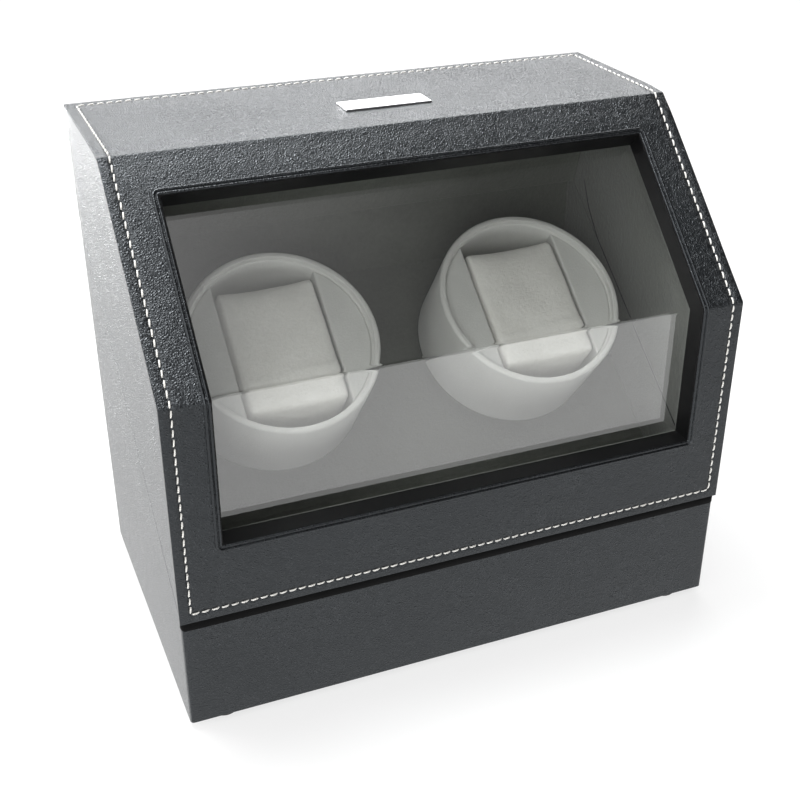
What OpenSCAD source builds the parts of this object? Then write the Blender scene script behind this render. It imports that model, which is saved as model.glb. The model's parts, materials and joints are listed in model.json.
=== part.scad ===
// Two-place watch winder box with a sloping window.
// A leather-covered base holds two tilted cups, each turned by its own gearmotor under a
// sloping deck. A hinged lid with a bent clear pane closes over them along a sloping split.
// Z is up, X runs left to right and +Y points to the back. The origin is the centre of the
// footprint, at the height of the surface that the feet stand on.

/* [Case] */
// Width across the lid's covering
case_w = 240; // [232:1:256]
// Depth from the lid's front face to the back face
case_d = 146; // [143:1:152]
// Height of the case above its feet
case_h = 212; // [208:1:222]
// Depth of the flat top panel
top_d = 74.1; // [70:0.1:80]
// Height of the bend in the front above the bottom edge
knee_h = 143.4; // [138:0.1:148]
// Height of the lid's lower edge at the front above the bottom edge
lip_h = 49.7; // [47:0.1:52]
// Height of the split at the back above the bottom edge
split_h = 163.1; // [160:0.1:166]
// Gap between lid and base along the split
lid_gap = 0.5; // [0.3:0.1:1]
// How far the lid's front stands in front of the base
lip_proud = 1; // [0.5:0.1:1.5]
// How far the lid's covering stands out past the side coverings
wrap_proud = 0.4; // [0.2:0.1:0.6]

/* [Walls] */
// Thickness of the side and back boards
board_t = 4; // [3.8:0.1:5]
// Thickness of the base's front board
front_t = 8; // [7:0.5:10]
// Thickness of the lid's window frame boards
frame_t = 7.8; // [7:0.1:9]
// Thickness of the lid's top board
top_t = 5; // [4:0.5:6]
// Thickness of the floor board
floor_t = 5; // [4:0.5:6]
// Thickness of the side, back and base coverings
leather_t = 0.8; // [0.6:0.1:1.2]
// Thickness of the covering over the lid's top, slope and front
wrap_t = 1.2; // [1:0.1:1.6]
// Thickness of the suede on the side walls
lining_t = 0.8; // [0.6:0.1:1.2]
// Thickness of the padding on the base's back wall
back_pad_t = 3; // [2:0.5:4]
// Depth of the lid's back padding at its lower edge
lid_pad_low = 9; // [8:0.5:11]
// Depth of the lid's back padding at its upper edge
lid_pad_high = 24; // [20:1:26]
// Thickness of the sheet under the floor
sheet_t = 0.8; // [0.6:0.1:1.2]

/* [Window] */
// Width of the lid's frame beside the window
win_side = 18.5; // [17:0.5:24]
// Height of the window's lower edge above the lid's lower edge
win_low = 32.3; // [28:0.1:36]
// Width of the lid's frame above the window
win_head = 18.4; // [17:0.1:24]
// Width of the turned bead round the window
bead_w = 2.2; // [1.5:0.1:3]
// Height of the bead
bead_h = 0.7; // [0.4:0.1:1]
// Thickness of the gloss lining in the window opening
jamb_t = 0.6; // [0.5:0.1:1]
// Thickness of the clear pane
pane_t = 3; // [2:0.5:3]
// How far the pane reaches behind the frame
pane_lap = 8; // [7:0.5:9]
// Thickness of the strips that hold the pane
strip_t = 2.5; // [2:0.5:3]
// Width of the strips that hold the pane
strip_w = 6; // [5:0.5:7]

/* [Trim] */
// Distance of the stitching from the edges
stitch_in = 4.5; // [4:0.1:6]
// Spacing of the stitches
stitch_pitch = 3.8; // [3.4:0.1:4.5]
// Length of one stitch
stitch_l = 2.9; // [2.4:0.1:3.1]
// Radius of the thread
thread_r = 0.28; // [0.2:0.01:0.3]
// Slant of each stitch in degrees
stitch_slant = 7; // [0:1:8]
// Width of the groove that the thread lies in
groove_w = 1; // [1:0.1:1.2]
// Width of the nameplate
badge_w = 37.5; // [30:0.5:45]
// Depth of the nameplate
badge_d = 12.5; // [10:0.5:15]
// Thickness of the nameplate
badge_t = 0.8; // [0.5:0.1:1.5]
// Sideways place of the nameplate
badge_x = 2.5; // [-5:0.5:5]
// Distance of the nameplate's centre from the back face
badge_back = 48; // [40:1:52]

/* [Feet] */
// Height of the feet
foot_h = 3; // [2:0.5:5]
// Radius of a foot
foot_r = 6; // [5:0.5:8]
// Distance of a foot's centre from the side face
foot_side = 16; // [12:1:22]
// Distance of a foot's centre from the front and back faces
foot_end = 8.5; // [8.5:0.5:14]

/* [Winders] */
// Distance of each cup's axis from the middle
cup_x = 56.2; // [56.2:0.1:57]
// Distance of the cups' axis in front of the back face, measured on the split plane
cup_fore = 67.6; // [65:0.1:70]
// Radius of a cup at its rim
cup_r = 40.8; // [40:0.1:41.2]
// Radius of a cup at its base
cup_base_r = 40.3; // [39.5:0.1:41]
// Depth of a cup outside
cup_h = 42; // [38:0.5:43]
// Height of the rim above the split plane
rim_up = 25.3; // [22:0.1:27]
// Wall of a cup
cup_wall = 2.6; // [2:0.1:3]
// Floor of a cup
cup_floor = 3; // [2:0.5:4]
// Radius of the boss under a cup
boss_r = 8; // [7:0.5:10]
// How far the cheeks lie below the rim
cheek_down = 3; // [2:0.5:5]
// Running gap between pieces that turn or slide past each other
run_gap = 0.3; // [0.2:0.05:0.4]

/* [Cushions] */
// Width of a cushion
cushion_w = 43.5; // [40:0.5:45]
// Distance from the axis to the cushion's upper end
cushion_up = 27; // [24:0.5:28]
// Distance from the axis to the cushion's lower end
cushion_low = 29.3; // [26:0.1:29.3]
// How far the cushion's face lies below the rim
cushion_down = 1; // [0.5:0.5:4]
// Radius of the cushion's long edges
cushion_r = 9; // [6:0.5:12]

/* [Deck] */
// Distance of the deck below the split plane
deck_down = 28.4; // [28:0.1:30]
// Thickness of the deck board
deck_t = 4; // [4:0.5:5]
// Thickness of the suede on the deck
suede_t = 1; // [0.8:0.1:1.5]
// Size of the square battens under the deck
cleat_w = 6; // [5:0.5:8]

/* [Drive] */
// Gear module
gear_m = 1; // [1:1:1]
// Teeth of a drive wheel
wheel_n = 36; // [36:2:36]
// Teeth of a pinion
pinion_n = 12; // [12:2:12]
// Pressure angle of the teeth
press_deg = 20; // [20:1:22]
// Width taken from each tooth for backlash
tooth_gap = 0.12; // [0.1:0.01:0.2]
// Height of a wheel tooth above the pitch circle, in modules
wheel_add = 0.75; // [0.7:0.05:0.8]
// Thickness of a drive wheel
wheel_t = 6; // [5:0.5:7]
// Distance of a drive wheel's lightening holes from its axis
wheel_hole_at = 10.5; // [9:0.5:11]
// Radius of those holes
wheel_hole_r = 3.2; // [2.5:0.1:3.5]
// Radius of a spindle
spindle_r = 3; // [2.5:0.5:3.5]
// Running clearance of a spindle in its bush
bush_gap = 0.05; // [0.03:0.01:0.1]
// Outer radius of a bush
bush_r = 6; // [5:0.5:7]
// Radius of a bush's flange
bush_flange_r = 9; // [8:0.5:10]
// Thickness of a bush's flange
bush_flange_t = 1.5; // [1:0.5:2]
// How far a bush reaches below the deck
bush_drop = 2; // [1:0.5:3]
// How far a spindle reaches below its wheel
spindle_end = 2; // [1.5:0.5:3]
// Width of the collar that keeps a wheel on its spindle
collar_w = 2; // [1.5:0.5:3]
// Thickness of that collar
collar_t = 1.2; // [1:0.1:1.5]
// Radius of a gearmotor
motor_r = 12; // [10:0.5:12]
// Length of a gearmotor
motor_l = 32; // [28:1:32]
// Radius of a gearmotor's shaft
shaft_r = 1.5; // [1.5:0.5:2]
// Gap between a drive wheel and the motor bracket's plate
bracket_gap = 4; // [3:0.5:4]
// Thickness of a motor bracket's plate
bracket_t = 2; // [1.5:0.5:2.5]
// Half width of a motor bracket's plate
bracket_x = 13; // [12.5:0.5:14]
// Distance of a bracket's posts from the motor's axis
post_y = 16; // [15:0.5:18]
// Radius of a bracket's posts
post_r = 3; // [2.5:0.5:3.5]

/* [Power] */
// Radius of a battery cell
cell_r = 17.1; // [16:0.1:17.1]
// Length of a battery cell
cell_l = 61.5; // [58:0.5:61.5]
// Radius of a cell's raised pole
pole_r = 4.5; // [3.5:0.5:5]
// Height of that pole
pole_h = 2; // [1.5:0.5:2.5]
// Space for the contact at each end of the cells
contact_l = 2.5; // [2.5:0.1:3]
// Width of a contact plate
contact_w = 20; // [16:1:24]
// Height of a contact plate
contact_h = 24; // [20:1:28]
// Thickness of a contact plate
contact_t = 0.5; // [0.3:0.1:0.6]
// Radius of the raised button on the flat contact
button_r = 4; // [3:0.5:4.5]
// Radius of the spring contact's widest turn
spring_r = 7; // [6:0.5:9]
// Radius of the spring contact's wire
spring_wire_r = 0.5; // [0.4:0.05:0.5]
// Wall of the battery tray
tray_t = 1.6; // [1.2:0.1:2]
// Thickness of the battery door
door_t = 2.7; // [2.5:0.1:3]
// Distance of the door's pivot from the back face
door_pivot = 1.9; // [1.7:0.1:2.2]
// Radius of the door's lower edge and pivot barrel
door_r = 1; // [0.9:0.1:1.1]
// Height of the control recess's centre above the bottom edge
panel_h = 90; // [86:1:96]
// Half width of the control recess
panel_x = 36; // [35:0.5:40]
// Half height of the control recess
panel_y = 17; // [16:0.5:19]
// Depth of the control recess
recess = 6; // [5.5:0.5:7]
// Wall of the control recess
panel_t = 1.6; // [1.4:0.1:2]
// Width of the flange round the control recess
flange_w = 5; // [4.5:0.5:6]
// Thickness of that flange
flange_t = 1.2; // [1:0.1:1.5]
// Distance of the inlet and the rocker from the middle
outer_x = 26; // [25:0.5:27]
// Distance of the knobs from the middle
knob_x = 8.5; // [8:0.5:9]
// Radius of a knob
knob_r = 6; // [5:0.5:6.5]
// Height of a knob
knob_h = 4.5; // [4:0.5:5]
// Radius of a knob's shaft
knob_shaft_r = 2.5; // [2:0.5:3]
// Space between the recess's floor and the circuit board
board_gap = 8; // [8:0.5:10]
// How far the circuit board's ends stay inside the recess's ends
board_in = 2; // [1:0.5:3]
// How far its long edges stay inside the recess's long edges
board_low = 5; // [4:0.5:6]
// Thickness of the circuit board
pcb_t = 1.6; // [1:0.2:2]
// Radius of the power socket's mouth
jack_r = 2.75; // [2.75:0.05:3.2]
// Radius of the power socket's centre pin
jack_pin_r = 1; // [0.8:0.05:1.25]
// Tilt of the rocker to each side
rocker_deg = 8; // [6:1:9]
// Half width of the rocker
rocker_x = 4.5; // [4:0.5:5]
// Half length of the rocker
rocker_y = 6; // [5.5:0.5:6.5]
// Radius of the rocker's pivot pins
rocker_pin_r = 0.5; // [0.4:0.05:0.5]
// How far those pins reach into the recess's floor
rocker_pin_l = 0.9; // [0.6:0.1:1.2]

/* [Hinges and fasteners] */
// Distance of each hinge from the middle
hinge_x = 72; // [60:1:85]
// Width of a hinge
hinge_w = 36; // [30:1:40]
// Height of a hinge leaf
leaf_h = 13; // [12:0.5:16]
// Thickness of a hinge leaf
leaf_t = 1.2; // [1:0.1:1.5]
// Radius of a hinge knuckle
knuckle_r = 2.2; // [2:0.1:2.5]
// Radius of a hinge pin
pin_r = 1; // [0.8:0.1:1.1]
// Gap between a hinge's knuckles
knuckle_gap = 0.2; // [0.15:0.05:0.3]
// Radius of a magnet
magnet_r = 2.5; // [2:0.5:3]
// Thickness of a magnet
magnet_t = 2.5; // [2:0.5:3]
// Distance of each magnet from the middle
magnet_x = 60; // [50:1:90]
// Radius of a screw's shank
screw_r = 1.2; // [1:0.1:1.3]
// Radius of a screw's head
screw_head_r = 2.2; // [2:0.1:2.4]
// Height of a screw's head
screw_head_t = 1.4; // [1:0.1:1.6]
// Length of a screw's shank
screw_l = 5.3; // [5:0.1:5.5]
// Close clearance of a fixed round fit
fit_gap = 0.02; // [0.02:0.01:0.04]

/* [Hidden] */
$fn = 64;

// A cut runs this far past the face that it opens
over = 1;
// A hinge barrel stands this far off the back face
barrel_off = 0.1;
hinge_off = knuckle_r + barrel_off;

// Main planes of the case
front_y = (bead_h - case_d - hinge_off - knuckle_r) / 2;
back_y = front_y + case_d;
crease_y = back_y - top_d;
top_z = foot_h + case_h;
knee_z = foot_h + knee_h;
lip_z = foot_h + lip_h;
hinge_z = foot_h + split_h;
hinge_y = back_y + hinge_off;
slant_deg = atan2(top_z - knee_z, crease_y - front_y);
slant_l = norm([top_z - knee_z, crease_y - front_y]);
tilt = atan2(hinge_z - lip_z, case_d);

// Faces of the layers, from the outside in
wrap_x = case_w / 2;
skin_x = wrap_x - wrap_proud;
board_x = skin_x - leather_t;
in_x = board_x - board_t;
room_x = in_x - lining_t;
back_board_y = back_y - leather_t;
in_back_y = back_board_y - board_t;
base_front_y = front_y + lip_proud;
base_board_y = base_front_y + leather_t;
in_front_y = base_board_y + front_t;
floor_z = foot_h + sheet_t;
floor_top = floor_z + floor_t;
pane_d = wrap_t + frame_t;

// Window
win_x = wrap_x - win_side;
win_up = slant_l - win_head;
win_low_z = lip_z + win_low;

// Winder axis, in the plane of the split
axis_y = back_y - cup_fore;
cup_floor_z = rim_up - cup_h;
deck_under = deck_down + suede_t + deck_t;
boss_low = bush_flange_t + run_gap - deck_down;
wheel_top = -deck_under - bush_drop - run_gap;
wheel_low = wheel_top - wheel_t;
gear_c = gear_m * (wheel_n + pinion_n) / 2;
plate_top = wheel_low - bracket_gap;
motor_top = plate_top - bracket_t;
motor_low = motor_top - motor_l;
socket_l = 8;
cheek_x = cushion_w / 2 + run_gap;
cup_inner_r = cup_base_r - cup_wall;

// Battery tray and door
tray_x = cell_l + contact_l;
cell_gap = 0.4;
cell_y = in_back_y - cell_r - cell_gap;
tray_front_y = cell_y - cell_r - cell_gap;
tray_low_z = floor_top + tray_t;
tray_high_z = tray_low_z + 2 * (cell_r + cell_gap);
cell_z = (tray_low_z + tray_high_z) / 2;
door_y = back_y - door_pivot;
door_z = tray_low_z + door_r + run_gap;
pintle_r = door_r - 0.1;

// Control recess
panel_z = foot_h + panel_h;
pcb_front = -panel_t - board_gap;
rocker_gap = 0.5;

// Stitching
stitch_x = wrap_x - stitch_in;
groove_d = 2 * thread_r + 0.02;

screw_hole_r = screw_r + fit_gap;
magnet_gap = 0.2;
leaf_screw_x = 11;
leaf_screw_z = 8;
leaf_head_r = 2;
leaf_head_t = 0.8;
leaf_shank_r = 1;
leaf_shank_l = 4.2;
knuckles = 5;

// Points of the profile, as [y, z], at a depth d inside the outer faces
function split_z(y) = lip_z + (y - front_y) * tan(tilt);
function lid_low_z(y) = split_z(y) + lid_gap / cos(tilt);
function knee(d) = [front_y + d, knee_z - d * (1 - sin(slant_deg)) / cos(slant_deg)];
function crease(ds, dt) =
    [front_y + (top_z - dt - knee_z + ds / cos(slant_deg)) / tan(slant_deg), top_z - dt];
function slant_pt(l, d) =
    [front_y + l * cos(slant_deg) + d * sin(slant_deg),
     knee_z + l * sin(slant_deg) - d * cos(slant_deg)];
function lip_pt(d) = [front_y + d, lid_low_z(front_y + d)];
// Band between two depths, from a height on the front to a length up the slope
function band(d0, d1, z_low, l_up) = [
    [front_y + d0, z_low], knee(d0), slant_pt(l_up, d0),
    slant_pt(l_up, d1), knee(d1), [front_y + d1, z_low]
];
// Wall of the base between two depths from front to back
function base_wall(y0, y1, z_low) =
    [[y0, z_low], [y1, z_low], [y1, split_z(y1)], [y0, split_z(y0)]];
// Slab parallel to the split, between two distances below it
function slab(y0, y1, d0, d1) = [
    [y0, split_z(y0) - d1 / cos(tilt)], [y1, split_z(y1) - d1 / cos(tilt)],
    [y1, split_z(y1) - d0 / cos(tilt)], [y0, split_z(y0) - d0 / cos(tilt)]
];
// Point of a winder's frame, in the case's frame
function winder_pt(x, y, z) = [
    x, axis_y + y * cos(tilt) - z * sin(tilt),
    split_z(axis_y) + y * sin(tilt) + z * cos(tilt)
];

// Involute gear outline
function inv_deg(r, rb) = r <= rb ? 0 : tan(acos(rb / r)) * 180 / PI - acos(rb / r);
function tooth_half(r, rp, rb, n) =
    90 / n - tooth_gap / 2 / rp * 180 / PI + inv_deg(rp, rb) - inv_deg(r, rb);
function polar(r, a) = [r * cos(a), r * sin(a)];
function gear_outline(n, add, steps = 5) =
    let (rp = gear_m * n / 2, rb = rp * cos(press_deg), tip = rp + add * gear_m,
         root = rp - 1.25 * gear_m, low = max(root, rb),
         radii = concat([root], [for (i = [0:steps]) low + (tip - low) * i / steps]))
    [for (k = [0:n - 1]) for (side = [-1, 1]) for (i = [0:steps + 1])
        let (r = radii[side < 0 ? i : steps + 1 - i])
        polar(r, 360 * k / n + side * tooth_half(r, rp, rb, n))];

// Profile in the y-z plane, extruded between two places along x
module profile(x0, x1, points) {
    translate([x0, 0, 0]) rotate([90, 0, 90]) linear_extrude(x1 - x0) polygon(points);
}

// Profile extruded to both sides of the middle
module prism(half, points) {
    profile(-half, half, points);
}

// Right-hand piece as drawn, left-hand piece mirrored
module at_side(side) {
    if (side > 0) children();
    else mirror([1, 0, 0]) children();
}

module both_sides() {
    for (side = [-1, 1]) at_side(side) children();
}

// Tube with eight sides along a route that never runs straight along y
function unit(v) = v / norm(v);
function heading(path, i) =
    unit(path[min(i + 1, len(path) - 1)] - path[max(i - 1, 0)]);
module tube(path, r) {
    sides = 8;
    last = len(path) - 1;
    rings = [for (i = [0:last])
        let (t = heading(path, i), u = unit(cross(t, [0, 1, 0])), v = cross(t, u))
        for (k = [0:sides - 1])
            path[i] + r * (cos(360 * k / sides) * u + sin(360 * k / sides) * v)];
    walls = [for (i = [0:last - 1]) for (k = [0:sides - 1])
        let (n = (k + 1) % sides)
        for (face = [[i * sides + k, (i + 1) * sides + k, i * sides + n],
                     [i * sides + n, (i + 1) * sides + k, (i + 1) * sides + n]]) face];
    start_cap = [for (k = [1:sides - 2]) [0, k, k + 1]];
    end_cap = [for (k = [1:sides - 2])
        [last * sides, last * sides + k + 1, last * sides + k]];
    polyhedron(points = rings, faces = concat(walls, start_cap, end_cap));
}

// Frame of a winder: z is the cup's axis, zero on the split plane
module winder_frame() {
    translate([cup_x, axis_y, split_z(axis_y)]) rotate([tilt, 0, 0]) children();
}

// Frame of the control recess: z points out of the back, zero on the recess's floor
module panel_frame() {
    translate([0, back_y - recess, panel_z]) rotate([-90, 0, 0]) children();
}

// Frames on the lid's outer faces: x to the right, y up the face, z outwards
module front_face() {
    translate([0, front_y, lip_z]) rotate([90, 0, 0]) children();
}

module slant_face() {
    translate([0, front_y, knee_z]) rotate([slant_deg, 0, 0]) children();
}

module top_face() {
    translate([0, crease_y, top_z]) children();
}

// Opening of the window, or a ring's edge at a margin round it
module window_block(margin, d0, d1) {
    prism(win_x + margin, band(d0, d1, win_low_z - margin, win_up + margin));
}

// ---- fasteners ----

// Screw with its head above z = 0 and its shank below
module screw() {
    cylinder(r = screw_head_r, h = screw_head_t);
    translate([0, 0, -screw_l]) cylinder(r = screw_r, h = screw_l + fit_gap);
}

module screw_hole() {
    translate([0, 0, -screw_l - fit_gap]) cylinder(r = screw_hole_r, h = screw_l + over);
}

// Screws that hold the motor to its bracket, in a winder's frame
module motor_screw_places() {
    for (s = [-1, 1]) translate([gear_c, s * (motor_r - 3.5), plate_top]) children();
}

// Screws that hold the bracket's feet to the deck, in a winder's frame
module foot_screw_places() {
    for (s = [-1, 1])
        translate([gear_c, s * (post_y + 6), -deck_under - bracket_t])
            mirror([0, 0, 1]) children();
}

// Screws at the corners of the control recess's flange
module panel_screw_places() {
    panel_frame()
        for (x = [-1, 1]) for (y = [-1, 1])
            translate([x * (panel_x + flange_w / 2), y * (panel_y + flange_w / 2),
                       recess + flange_t])
                children();
}

// Hinge screws on the base (side -1) or on the lid (side 1)
module hinge_screw_places(side) {
    both_sides()
        for (s = [-1, 1])
            translate([hinge_x + s * leaf_screw_x, back_y + leaf_t, hinge_z + side * leaf_screw_z])
                rotate([-90, 0, 0]) children();
}

module hinge_screw(gap) {
    translate([0, 0, -leaf_head_t]) cylinder(r = leaf_head_r + gap, h = leaf_head_t + gap);
    translate([0, 0, -leaf_shank_l - gap])
        cylinder(r = leaf_shank_r + gap, h = leaf_shank_l + gap);
}

// Magnets in the edges that meet at the split: side -1 in the base, 1 in the lid
module magnet_places(side) {
    y = base_board_y + front_t / 2;
    both_sides()
        translate([magnet_x, y, split_z(y)]) rotate([tilt, 0, 0])
            translate([0, 0, side < 0 ? -magnet_gap : lid_gap + magnet_gap])
                mirror([0, 0, side < 0 ? 1 : 0]) children();
}

module magnet_pocket() {
    translate([0, 0, -over]) cylinder(r = magnet_r + fit_gap, h = magnet_t + over + fit_gap);
}

// ---- base ----

module base_floor() {
    color("tan")
    prism(in_x, [[in_front_y, floor_z], [in_back_y, floor_z],
                 [in_back_y, floor_top], [in_front_y, floor_top]]);
}

module base_side_board() {
    profile(in_x, board_x, base_wall(base_board_y, back_board_y, floor_z));
}

module base_left_board() {
    color("burlywood") at_side(-1) base_side_board();
}

module base_right_board() {
    color("burlywood") at_side(1) base_side_board();
}

module base_front_board() {
    color("tan")
    difference() {
        prism(in_x, base_wall(base_board_y, in_front_y, floor_z));
        magnet_places(-1) magnet_pocket();
    }
}

// Opening in the back for the battery tray's collar
module tray_cut() {
    translate([-tray_x - tray_t, in_back_y - over, floor_top])
        cube([2 * (tray_x + tray_t), back_y - in_back_y + 2 * over,
              tray_high_z + tray_t - floor_top]);
}

// Opening in the back for the control recess
module panel_cut() {
    panel_frame()
        translate([-panel_x, -panel_y, -panel_t])
            cube([2 * panel_x, 2 * panel_y, recess + panel_t + over]);
}

module base_back_board() {
    color("tan")
    difference() {
        prism(in_x, base_wall(in_back_y, back_board_y, floor_z));
        tray_cut();
        panel_cut();
        panel_screw_places() screw_hole();
        hinge_screw_places(-1) hinge_screw(fit_gap);
    }
}

module base_leather() {
    color([0.07, 0.07, 0.08])
    difference() {
        prism(skin_x, base_wall(base_front_y, back_y, foot_h));
        prism(board_x, [[base_board_y, foot_h - over], [back_board_y, foot_h - over],
                        [back_board_y, top_z], [base_board_y, top_z]]);
        tray_cut();
        panel_cut();
        panel_screw_places() screw_hole();
        hinge_screw_places(-1) hinge_screw(fit_gap);
    }
}

module underside_sheet() {
    color([0.12, 0.12, 0.12])
    prism(board_x, [[base_board_y, foot_h], [back_board_y, foot_h],
                    [back_board_y, floor_z], [base_board_y, floor_z]]);
}

module rubber_feet() {
    color([0.1, 0.1, 0.1])
    both_sides()
        for (y = [base_front_y + foot_end, back_y - foot_end])
            translate([wrap_x - foot_side, y, 0]) cylinder(r = foot_r, h = foot_h);
}

module base_lining() {
    color([0.45, 0.46, 0.42]) {
        both_sides()
            profile(room_x, in_x, slab(in_front_y, in_back_y, 0, deck_down));
        prism(room_x, slab(in_front_y, in_front_y + lining_t, 0, deck_down));
        prism(room_x, slab(in_back_y - back_pad_t, in_back_y, 0, deck_down));
    }
}

module deck_hole(r) {
    both_sides() winder_frame()
        translate([0, 0, -deck_under - over])
            cylinder(r = r, h = deck_under - deck_down + 2 * over);
}

module deck_board() {
    color("burlywood")
    difference() {
        prism(in_x, slab(in_front_y, in_back_y, deck_down + suede_t, deck_under));
        deck_hole(bush_r + fit_gap);
        both_sides() winder_frame() foot_screw_places() screw_hole();
    }
}

module deck_suede() {
    color([0.3, 0.31, 0.28])
    difference() {
        prism(in_x, slab(in_front_y, in_back_y, deck_down, deck_down + suede_t));
        deck_hole(bush_r + fit_gap);
    }
}

module deck_cleats() {
    color("peru")
    both_sides()
        profile(in_x - cleat_w, in_x,
                slab(in_front_y, in_back_y, deck_under, deck_under + cleat_w));
}

// ---- winder drive, drawn for the right-hand side ----

module spindle_bushes() {
    color("ivory")
    both_sides() winder_frame()
        difference() {
            union() {
                translate([0, 0, -deck_down]) cylinder(r = bush_flange_r, h = bush_flange_t);
                translate([0, 0, -deck_under - bush_drop])
                    cylinder(r = bush_r, h = deck_under + bush_drop - deck_down);
            }
            translate([0, 0, -deck_under - bush_drop - over])
                cylinder(r = spindle_r + bush_gap, h = deck_under + bush_drop);
        }
}

module bracket() {
    foot_l = 10;
    difference() {
        union() {
            translate([gear_c - bracket_x, -post_y - post_r, motor_top])
                cube([2 * bracket_x, 2 * (post_y + post_r), bracket_t]);
            for (s = [-1, 1]) {
                translate([gear_c, s * post_y, motor_top])
                    cylinder(r = post_r, h = -deck_under - motor_top);
                translate([gear_c - post_r, s > 0 ? post_y : -post_y - foot_l,
                           -deck_under - bracket_t])
                    cube([2 * post_r, foot_l, bracket_t]);
            }
        }
        translate([gear_c, 0, motor_top - over])
            cylinder(r = shaft_r + 2, h = bracket_t + 2 * over);
        motor_screw_places() screw_hole();
        foot_screw_places() screw_hole();
    }
}

module motor_brackets() {
    color("silver") both_sides() winder_frame() bracket();
}

module gearmotor() {
    tab = [4, 0.8, 3];
    difference() {
        translate([gear_c, 0, motor_low]) cylinder(r = motor_r, h = motor_l);
        translate([gear_c, 0, motor_top - 4]) cylinder(r = shaft_r + bush_gap, h = 4 + over);
        motor_screw_places() screw_hole();
    }
    for (s = [-1, 1])
        translate([gear_c - tab.x / 2, s * 5 - tab.y / 2, motor_low - tab.z]) cube(tab);
}

module gearmotors() {
    color("gray") both_sides() winder_frame() gearmotor();
}

module machine_screws() {
    color("lightgray") {
        both_sides() winder_frame() {
            motor_screw_places() screw();
            foot_screw_places() screw();
        }
        panel_screw_places() screw();
    }
}

module drive_wheel() {
    spindle_top = boss_low + socket_l;
    difference() {
        translate([0, 0, wheel_low])
            linear_extrude(wheel_t) polygon(gear_outline(wheel_n, wheel_add));
        translate([0, 0, wheel_low - over])
            cylinder(r = spindle_r + fit_gap, h = wheel_t + 2 * over);
        for (a = [0:60:300])
            rotate(a) translate([wheel_hole_at, 0, wheel_low - over])
                cylinder(r = wheel_hole_r, h = wheel_t + 2 * over);
    }
    translate([0, 0, wheel_low - spindle_end])
        cylinder(r = spindle_r, h = spindle_top - wheel_low + spindle_end);
    translate([0, 0, wheel_low - collar_t])
        difference() {
            cylinder(r = spindle_r + collar_w, h = collar_t);
            translate([0, 0, -over])
                cylinder(r = spindle_r + fit_gap, h = collar_t + 2 * over);
        }
}

module drive_wheel_left() {
    color("white") at_side(-1) winder_frame() drive_wheel();
}

module drive_wheel_right() {
    color("white") at_side(1) winder_frame() drive_wheel();
}

module pinion() {
    translate([gear_c, 0, 0]) {
        difference() {
            translate([0, 0, wheel_low - 1])
                rotate(180 / pinion_n)
                    linear_extrude(wheel_t + 1) polygon(gear_outline(pinion_n, 1));
            translate([0, 0, wheel_low - 2])
                cylinder(r = shaft_r + fit_gap, h = wheel_t + 3);
        }
        translate([0, 0, motor_top - 3]) cylinder(r = shaft_r, h = wheel_top - motor_top + 3);
    }
}

module pinion_left() {
    color("gold") at_side(-1) winder_frame() pinion();
}

module pinion_right() {
    color("gold") at_side(1) winder_frame() pinion();
}

// ---- cups and cushions ----

module cup() {
    difference() {
        union() {
            rotate_extrude()
                polygon([[0, cup_floor_z], [cup_base_r, cup_floor_z], [cup_r, rim_up],
                         [cup_r - cup_wall, rim_up],
                         [cup_inner_r, cup_floor_z + cup_floor], [0, cup_floor_z + cup_floor]]);
            translate([0, 0, boss_low]) cylinder(r = boss_r, h = cup_floor_z - boss_low + over);
        }
        translate([0, 0, boss_low - over])
            cylinder(r = spindle_r + fit_gap, h = socket_l + over + fit_gap);
    }
}

module cup_left() {
    color([0.75, 0.74, 0.68]) at_side(-1) winder_frame() cup();
}

module cup_right() {
    color([0.75, 0.74, 0.68]) at_side(1) winder_frame() cup();
}

// Cheeks that hold the cushion between two flat walls
module cup_insert() {
    low = cup_floor_z + cup_floor;
    high = rim_up - cheek_down;
    for (s = [0, 180])
        rotate(s)
            intersection() {
                translate([0, 0, low]) cylinder(r = cup_inner_r - run_gap / 2, h = high - low);
                translate([cheek_x, -cup_r, low]) cube([cup_r, 2 * cup_r, high - low]);
            }
}

module cup_insert_left() {
    color([0.7, 0.69, 0.63]) at_side(-1) winder_frame() cup_insert();
}

module cup_insert_right() {
    color([0.7, 0.69, 0.63]) at_side(1) winder_frame() cup_insert();
}

// Rounded pad, extruded across the cup
module cushion() {
    z0 = cup_floor_z + cup_floor + run_gap;
    z1 = rim_up - cushion_down;
    profile(-cushion_w / 2, cushion_w / 2, [
        for (c = [[-cushion_low, z0, 1, 1, 180], [cushion_up, z0, -1, 1, 270],
                  [cushion_up, z1, -1, -1, 0], [-cushion_low, z1, 1, -1, 90]])
            for (a = [0:15:90])
                [c[0] + c[2] * cushion_r, c[1] + c[3] * cushion_r]
                    + cushion_r * [cos(c[4] + a), sin(c[4] + a)]
    ]);
}

module cushion_left() {
    color([0.8, 0.79, 0.73]) at_side(-1) winder_frame() cushion();
}

module cushion_right() {
    color([0.8, 0.79, 0.73]) at_side(1) winder_frame() cushion();
}

// ---- power ----

module battery_tray() {
    color([0.15, 0.15, 0.16])
    difference() {
        translate([-tray_x - tray_t, tray_front_y - tray_t, floor_top])
            cube([2 * (tray_x + tray_t), back_y - tray_front_y + tray_t,
                  tray_high_z + tray_t - floor_top]);
        translate([-tray_x, tray_front_y, tray_low_z])
            cube([2 * tray_x, back_y - tray_front_y + over, tray_high_z - tray_low_z]);
        translate([-tray_x - tray_t - over, door_y, door_z]) rotate([0, 90, 0])
            cylinder(r = pintle_r + bush_gap, h = 2 * (tray_x + tray_t + over));
    }
}

module battery_cell() {
    rotate([0, 90, 0]) {
        cylinder(r = cell_r, h = cell_l - pole_h);
        cylinder(r = pole_r, h = cell_l - fit_gap);
    }
}

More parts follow.
